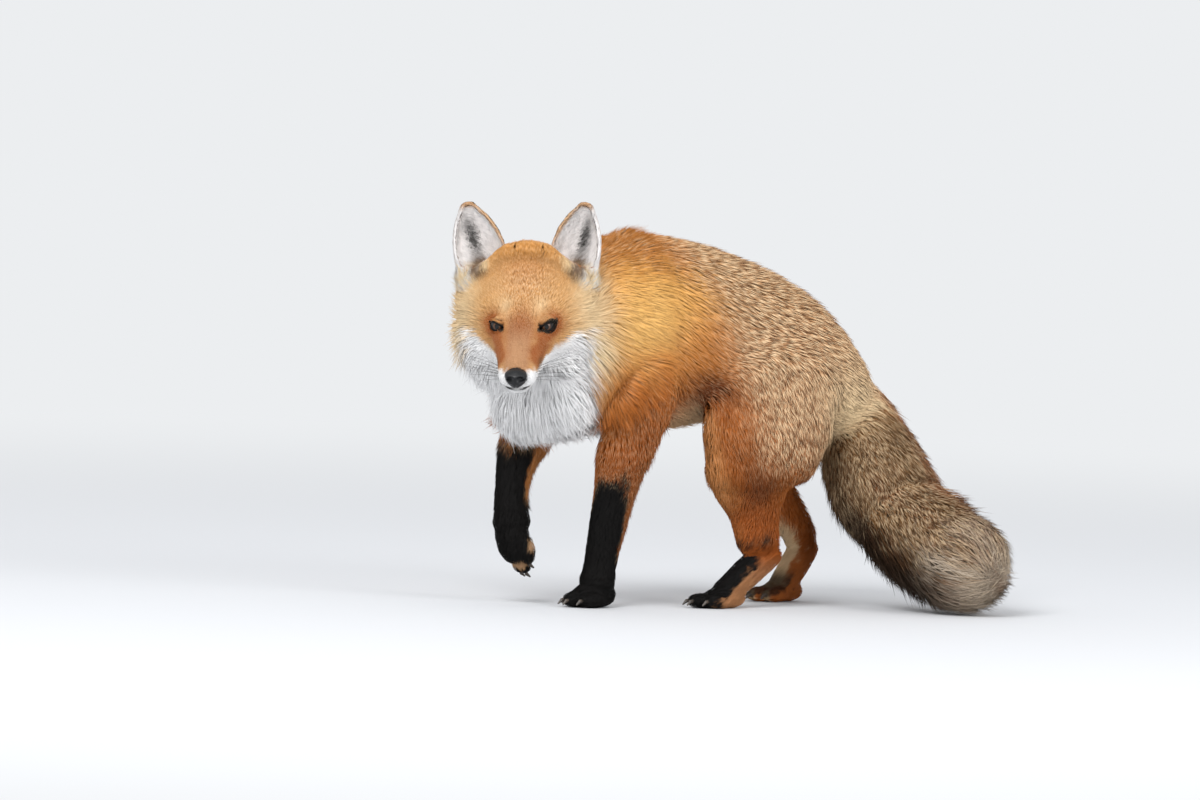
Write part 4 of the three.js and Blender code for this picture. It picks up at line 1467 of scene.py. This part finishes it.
SOFT = ("face_coat", "head_coat", "neck_coat")  # where no lock stands out from the next
TUFT_PATCH = 0.003  # a tuft's patch on its piece's map
LAYOUT_ANGLE, LAYOUT_MARGIN = math.radians(66), 0.004  # how the skin is laid out flat under a piece
GUARD_SHARE = 0.1  # of longer hairs that stand over the rest
ROOT_DEPTH = 0.8 * MM  # how far in the skin a tuft begins
LOCK = np.array([6.5, 13, 6.5]) * MM  # the size of the cells whose tips draw together
OFF_FLOOR = 0.1 * MM


def grow(hide, name, nodes, count, seed, where=None, rings=(0.42,)):
    """A piece of the coat: count tufts spread over the skin of these nodes."""
    lowest, draw = (0.74, 0.15) if name in SOFT else (0.55, 0.35)
    chance = np.random.default_rng(seed)
    owned = np.isin(hide.owner, nodes)
    if where is not None:
        owned &= where(hide.places)
    faces = np.flatnonzero(owned[hide.triangles].sum(axis=1) >= 2)
    weight = hide.area[faces] * hide.density[hide.triangles[faces]].mean(axis=1)
    steps = np.cumsum(weight)
    spots = (np.arange(count) + chance.random(count)) / count * steps[-1]
    picked = np.minimum(np.searchsorted(steps, spots), len(faces) - 1)
    first = 1 - np.sqrt(chance.random(count))
    second = chance.random(count) * (1 - first)
    shares = np.stack([first, second, 1 - first - second], axis=1)
    corners = hide.triangles[faces[picked]]

    def blended(values):
        return np.einsum("ij,ij...->i...", shares, values[corners])

    root = blended(hide.places)
    normal = unit(blended(hide.normal))
    lie = unit(blended(hide.lie))
    guard = chance.random(count) < GUARD_SHARE
    length = blended(hide.length) * chance.uniform(0.7, 1.2, count) * (1 + 0.25 * guard)
    height = blended(hide.loft) * chance.uniform(lowest, 1.08, count)
    stand = blended(hide.stand) * chance.uniform(0.1, 1.0, count) * (1 + 0.8 * guard)
    width = blended(hide.width) * chance.uniform(0.7, 1.25, count)
    turn = blended(hide.wander) * (chance.normal(size=count) + wobble(root, 28 * MM, seed))
    across = np.cross(normal, lie)
    lie = lie * np.cos(turn)[:, None] + across * np.sin(turn)[:, None]

    # Each hair's line is laid over the skin, a step at a time.
    line, normals_along, colours = [], [], []
    at, way, up, reached = root, lie, normal, 0.0
    for station in [*rings, 1.0]:
        at, beside = hide.under(at + way * (length * (station - reached))[:, None])
        up = hide.normal[beside]
        colours.append(hide.colour[beside])
        way = unit(hide.lie[beside] * 0.5 + way * 0.5)
        way = unit(way - up * dots(way, up)[:, None])
        reached = station
        lift = height * np.sin(min(station * 1.25, 1.0) * math.pi / 2) + stand * station**2
        line.append(at + up * lift[:, None])
        normals_along.append(up)

    # Neighbouring tips draw together into locks.
    lock = np.floor((root + 2.5 * MM * wobble(root, 11 * MM, seed + 1)[:, None]) / LOCK).astype(int)
    _, lock = np.unique(lock, axis=0, return_inverse=True)
    lock = lock.ravel()
    members = np.bincount(lock)
    tip = line[-1]
    gathered = np.stack([np.bincount(lock, tip[:, i]) / members for i in range(3)], axis=1)[lock]
    line[-1] = tip + (gathered - tip) * draw
    line[-1][:, 2] = np.maximum(line[-1][:, 2], 1 * MM)

    count_points = 3 * len(rings) + 2
    points = np.empty((count, count_points, 3))
    facing = np.empty((count, count_points, 3))
    points[:, 0] = root - normal * ROOT_DEPTH
    facing[:, 0] = normal
    before = root
    for i, (centre, up) in enumerate(zip(line[:-1], normals_along)):
        onward = unit(line[i + 1] - before)
        sideways = unit(np.cross(up, onward))
        above = unit(np.cross(onward, sideways))
        half = (width / 2)[:, None]
        points[:, 1 + 3 * i] = centre + sideways * half
        points[:, 2 + 3 * i] = centre - sideways * half
        points[:, 3 + 3 * i] = centre + above * half * 0.8
        facing[:, 1 + 3 * i] = unit(up + sideways * 0.5)
        facing[:, 2 + 3 * i] = unit(up - sideways * 0.5)
        facing[:, 3 + 3 * i] = unit(up + above * 0.5)
        before = centre
    points[:, -1] = line[-1]
    facing[:, -1] = normals_along[-1]
    points[:, :, 2] = np.maximum(points[:, :, 2], OFF_FLOOR)

    last = count_points - 1
    pattern = [(0, 3, 1), (0, 1, 2), (0, 2, 3)]
    for i in range(len(rings) - 1):
        a, b = 1 + 3 * i, 4 + 3 * i
        for p, q in ((0, 1), (1, 2), (2, 0)):
            pattern += [(a + q, a + p, b + p), (a + q, b + p, b + q)]
    a = last - 3
    pattern += [(last, a, a + 2), (last, a + 1, a), (last, a + 2, a + 1)]
    triangles = np.arange(count)[:, None, None] * count_points + np.array(pattern)
    piece = mesh_of(name, points.reshape(-1, 3), triangles.reshape(-1, 3))
    piece.data.normals_split_custom_set_from_vertices(facing.reshape(-1, 3))  # so the coat shades softly

    along = np.array([0.0] + [station for station in rings for _ in range(3)] + [1.0])
    strand = np.empty((count, count_points, 3))
    strand[:, :, 0] = along
    of_the_lock = chance.random(len(members))[lock] - 0.5
    strand[:, :, 1] = np.clip(0.5 + 0.17 * chance.normal(size=count) + 0.45 * of_the_lock, 0, 1)[:, None]
    strand[:, :, 2] = blended(hide.grizzle)[:, None]
    write_attribute(piece.data, "strand", "FLOAT_VECTOR", strand.reshape(-1, 3))
    colour = np.ones((count, count_points, 4))
    colour[:, 0, :3] = colours[0]
    for i, of_station in enumerate(colours[:-1]):
        colour[:, 1 + 3 * i : 4 + 3 * i, :3] = of_station[:, None, :]
    colour[:, -1, :3] = colours[-1]
    write_attribute(piece.data, "marking", "FLOAT_COLOR", colour.reshape(-1, 4))

    layout = unwrapped(hide, faces)
    root_spot = np.einsum("ij,ijk->ik", shares, layout[picked])
    aside = np.array([0.0] + [-0.5, 0.5, 0.0] * len(rings) + [0.0])
    patch = root_spot[:, None] + np.stack([aside, along - 0.5], axis=1) * TUFT_PATCH
    patch = np.clip(patch.reshape(-1, 2), 0, 1)
    uv = piece.data.uv_layers.new(name="OFBake")
    uv.data.foreach_set("uv", patch[triangles.ravel()].astype(np.float32).ravel())
    return piece


# ---- put together ------------------------------------------------------------------------------------------
def on_the_head(middles):
    left, forward, up = on_head(middles).T
    return (forward > -22) & (np.abs(left) < 50) & (up > -64) & (up < 34)


def by_eyes_and_mouth(middles):
    left, forward, up = on_head(middles).T
    out = np.abs(left)
    by_eyes = (forward > -22) & (out > 8) & (out < 45) & (np.abs(up + 2) < 18)
    return by_eyes | ((forward > 30) & (out < 30) & (up > -50) & (up < -28))


def on_the_feet(middles):
    return middles[:, 2] < np.where(middles[:, 1] < -0.18, 110, 60) * MM


FILLED = ("neck", "trunk", "_arm", "_forearm", "_thigh", "_shank")  # where creases between nodes are filled
FILL_STEPS, RELAX_STEPS = 36, 24


def make_skin():
    """The skin's piece, and its hide: all that the coat needs to know of it."""
    inset = Inset(flesh_outline())
    skin = inset_skin(inset)
    for ear in EARS:
        unite(skin, ear_skin(ear))
    finer_where(skin, on_the_head)
    finer_where(skin, by_eyes_and_mouth)
    finer_where(skin, on_the_feet)
    surface = Surface(skin.data)
    owner = nearest_flesh(surface.places)
    small = ((owner == "head") & (on_head(surface.places)[:, 1] > -40)) | (np.char.find(owner, "foot") >= 0)
    for _ in range(2):  # the finer points settle at their true depth
        off = inset.short(surface.places[small])
        surface.places[small] -= surface.normals()[small] * np.clip(off, -1.5 * MM, 1.5 * MM)[:, None]
    is_ear = np.isin(owner, EARS)
    surface.relax(RELAX_STEPS, surface.smoothed(np.where(is_ear, 0.1, np.where(small, 0.5, 1.0)), 3))
    body = np.isin(owner, [node for node in FLESH if node.endswith(FILLED)])
    surface.fill_hollows(FILL_STEPS, surface.smoothed(body * 1.0, 8))
    fuller = surface.smoothed(fuller_pasterns(surface.places, owner) * MM, 3)
    surface.places += surface.normals() * fuller[:, None]
    relief = np.where(owner == "head", face_relief(on_head(surface.places)), 0) * MM
    surface.places += surface.normals() * relief[:, None]
    tree = BVHTree.FromPolygons(surface.places.tolist(), surface.triangles.tolist())
    skin.data.vertices.foreach_set("co", sink_behind_the_lids(surface.places).astype(np.float32).ravel())
    rims = [mesh_of("lids", *lids(side, tree)) for side in (1, -1)] + [mesh_of("lips", *lips(tree))]
    for rim in rims:
        only_selected(rim)
        bpy.ops.object.mode_set(mode="EDIT")
        bpy.ops.mesh.select_all(action="SELECT")
        bpy.ops.mesh.normals_make_consistent(inside=False)
        bpy.ops.object.mode_set(mode="OBJECT")
    only_selected(skin, *rims)
    bpy.ops.object.join()

    surface = Surface(skin.data)
    hide = Hide(surface, nearest_flesh(surface.places))
    write_attribute(skin.data, "marking", "FLOAT_COLOR", np.c_[hide.colour, np.ones(surface.count)])
    write_attribute(skin.data, "bare", "FLOAT", hide.bare)
    skin.data.materials.clear()
    skin.data.materials.append(skin_material())
    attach(skin, "root")
    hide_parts(*FLESH)
    return skin, hide


LIT = Vector((0, 0, 0.2))  # what the lamps point at
LAMPS = (  # name, place, size in m, and watts
    ("key_lamp", (2.2, -3.0, 3.6), 2.6, 174),
    ("fill_lamp", (3.6, 1.6, 1.6), 2.4, 65),
)


def add_lamp(name, place, size, watts):
    data = bpy.data.lights.new(name, "AREA")
    data.shape = "DISK"
    data.size = size
    data.energy = watts
    lamp = bpy.data.objects.new(name, data)
    lamp.location = place
    lamp.rotation_euler = (LIT - lamp.location).to_track_quat("-Z", "Y").to_euler()
    bpy.context.collection.objects.link(lamp)


BACKDROP, FLOOR, STUDIO = "eceef0", "d2d4d7", "f4f5f7"
FADE = (0.7, 3.5)  # how far out the floor begins to fade into the backdrop and has done so, in m
STUDIO_STRENGTH = 0.9
FLOOR_RADIUS = 30


def floor_material():
    """A pale floor that fades, as the camera sees it, into the backdrop some way from the fox."""
    material, tree, shader = new_material("pale_floor")
    shader.inputs["Base Color"].default_value = rgba(FLOOR)
    shader.inputs["Roughness"].default_value = 0.95
    place = add_node(tree, "TexCoord").outputs["Object"]
    away = add_node(tree, "VectorMath", {0: place}, operation="LENGTH").outputs["Value"]
    far = add_node(
        tree, "MapRange", {"Value": away, "From Min": FADE[0], "From Max": FADE[1]},
        interpolation_type="SMOOTHSTEP",
    )
    straight = add_node(tree, "LightPath").outputs["Is Camera Ray"]
    share = add_node(tree, "Math", {0: far.outputs["Result"], 1: straight}, operation="MULTIPLY")
    glow = add_node(tree, "Emission", {"Color": rgba(BACKDROP), "Strength": 1.0})
    both = add_node(tree, "MixShader", {0: share.outputs["Value"], 1: shader.outputs[0], 2: glow.outputs[0]})
    tree.links.new(both.outputs[0], tree.nodes["Material Output"].inputs["Surface"])
    return material


def add_stage():
    """A pale floor under soft lamps. The camera sees the world as the same pale tone."""
    bpy.ops.mesh.primitive_circle_add(vertices=96, radius=FLOOR_RADIUS, fill_type="NGON", location=(0, 0, 0))
    floor = bpy.context.active_object
    floor.name = "floor"
    floor.data.materials.append(floor_material())
    for lamp in LAMPS:
        add_lamp(*lamp)
    world = bpy.data.worlds.new("studio")
    bpy.context.scene.world = world
    world.use_nodes = True
    tree = world.node_tree
    light = tree.nodes["Background"]
    light.inputs["Color"].default_value = rgba(STUDIO)
    light.inputs["Strength"].default_value = STUDIO_STRENGTH
    seen = add_node(tree, "Background", {"Color": rgba(BACKDROP), "Strength": 1.0})
    straight = add_node(tree, "LightPath").outputs["Is Camera Ray"]
    both = add_node(tree, "MixShader", {0: straight, 1: light.outputs[0], 2: seen.outputs[0]})
    tree.links.new(both.outputs[0], tree.nodes["World Output"].inputs["Surface"])
    bpy.context.scene.view_settings.view_transform = "Standard"


def in_front(places):
    return on_head(places)[:, 1] > -30


def behind(places):
    return ~in_front(places)


add_camera()
skin, hide = make_skin()
FURS = {
    "red_fur": fur_material("red_fur", 0.82, "dfc19a", "5e3d26"),
    "black_fur": fur_material("black_fur", 0.8, "4a3a30", "0c0a09"),
    "brush_fur": fur_material("brush_fur", 0.75, "cfb794", "2f2219"),
    "ear_fur": fur_material("ear_fur", 0.8, "e8e2d8", "2c241e"),
}
PIECES = (  # name, nodes, tufts, slot, and which part of the nodes
    ("face_coat", ["head"], 33000, "red_fur", in_front),
    ("head_coat", ["head"], 33000, "red_fur", behind),
    ("ear_coat", EARS, 20000, "ear_fur", None),
    ("neck_coat", ["neck"], 33000, "red_fur", None),
    ("trunk_coat", ["trunk"], 33000, "red_fur", None),
    ("thigh_coat", ["hindleg_left_thigh", "hindleg_right_thigh"], 22000, "red_fur", None),
    ("foreleg_coat", [n for n in FLESH if n.startswith("foreleg")], 20000, "red_fur", None),
    ("shank_coat", ["hindleg_left_shank", "hindleg_right_shank"], 10000, "red_fur", None),
    ("foot_coat", [n for n in FLESH if "foot" in n], 16000, "black_fur", None),
    ("tail_coat", TAIL, 30000, "brush_fur", None),
)
for i, (name, nodes, count, slot, where) in enumerate(PIECES):
    piece = grow(hide, name, nodes, count, seed=100 + i, where=where)
    piece.data.materials.append(FURS[slot])
    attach(piece, "root")
make_nose()
eye_material = eye_gloss()
for side in (1, -1):
    make_eye(side, eye_material)
make_whiskers()
claw_horn = horn()
for claw in CLAWS:
    for held in frame["nodes"][claw].material_slots:
        held.material = claw_horn
add_stage()
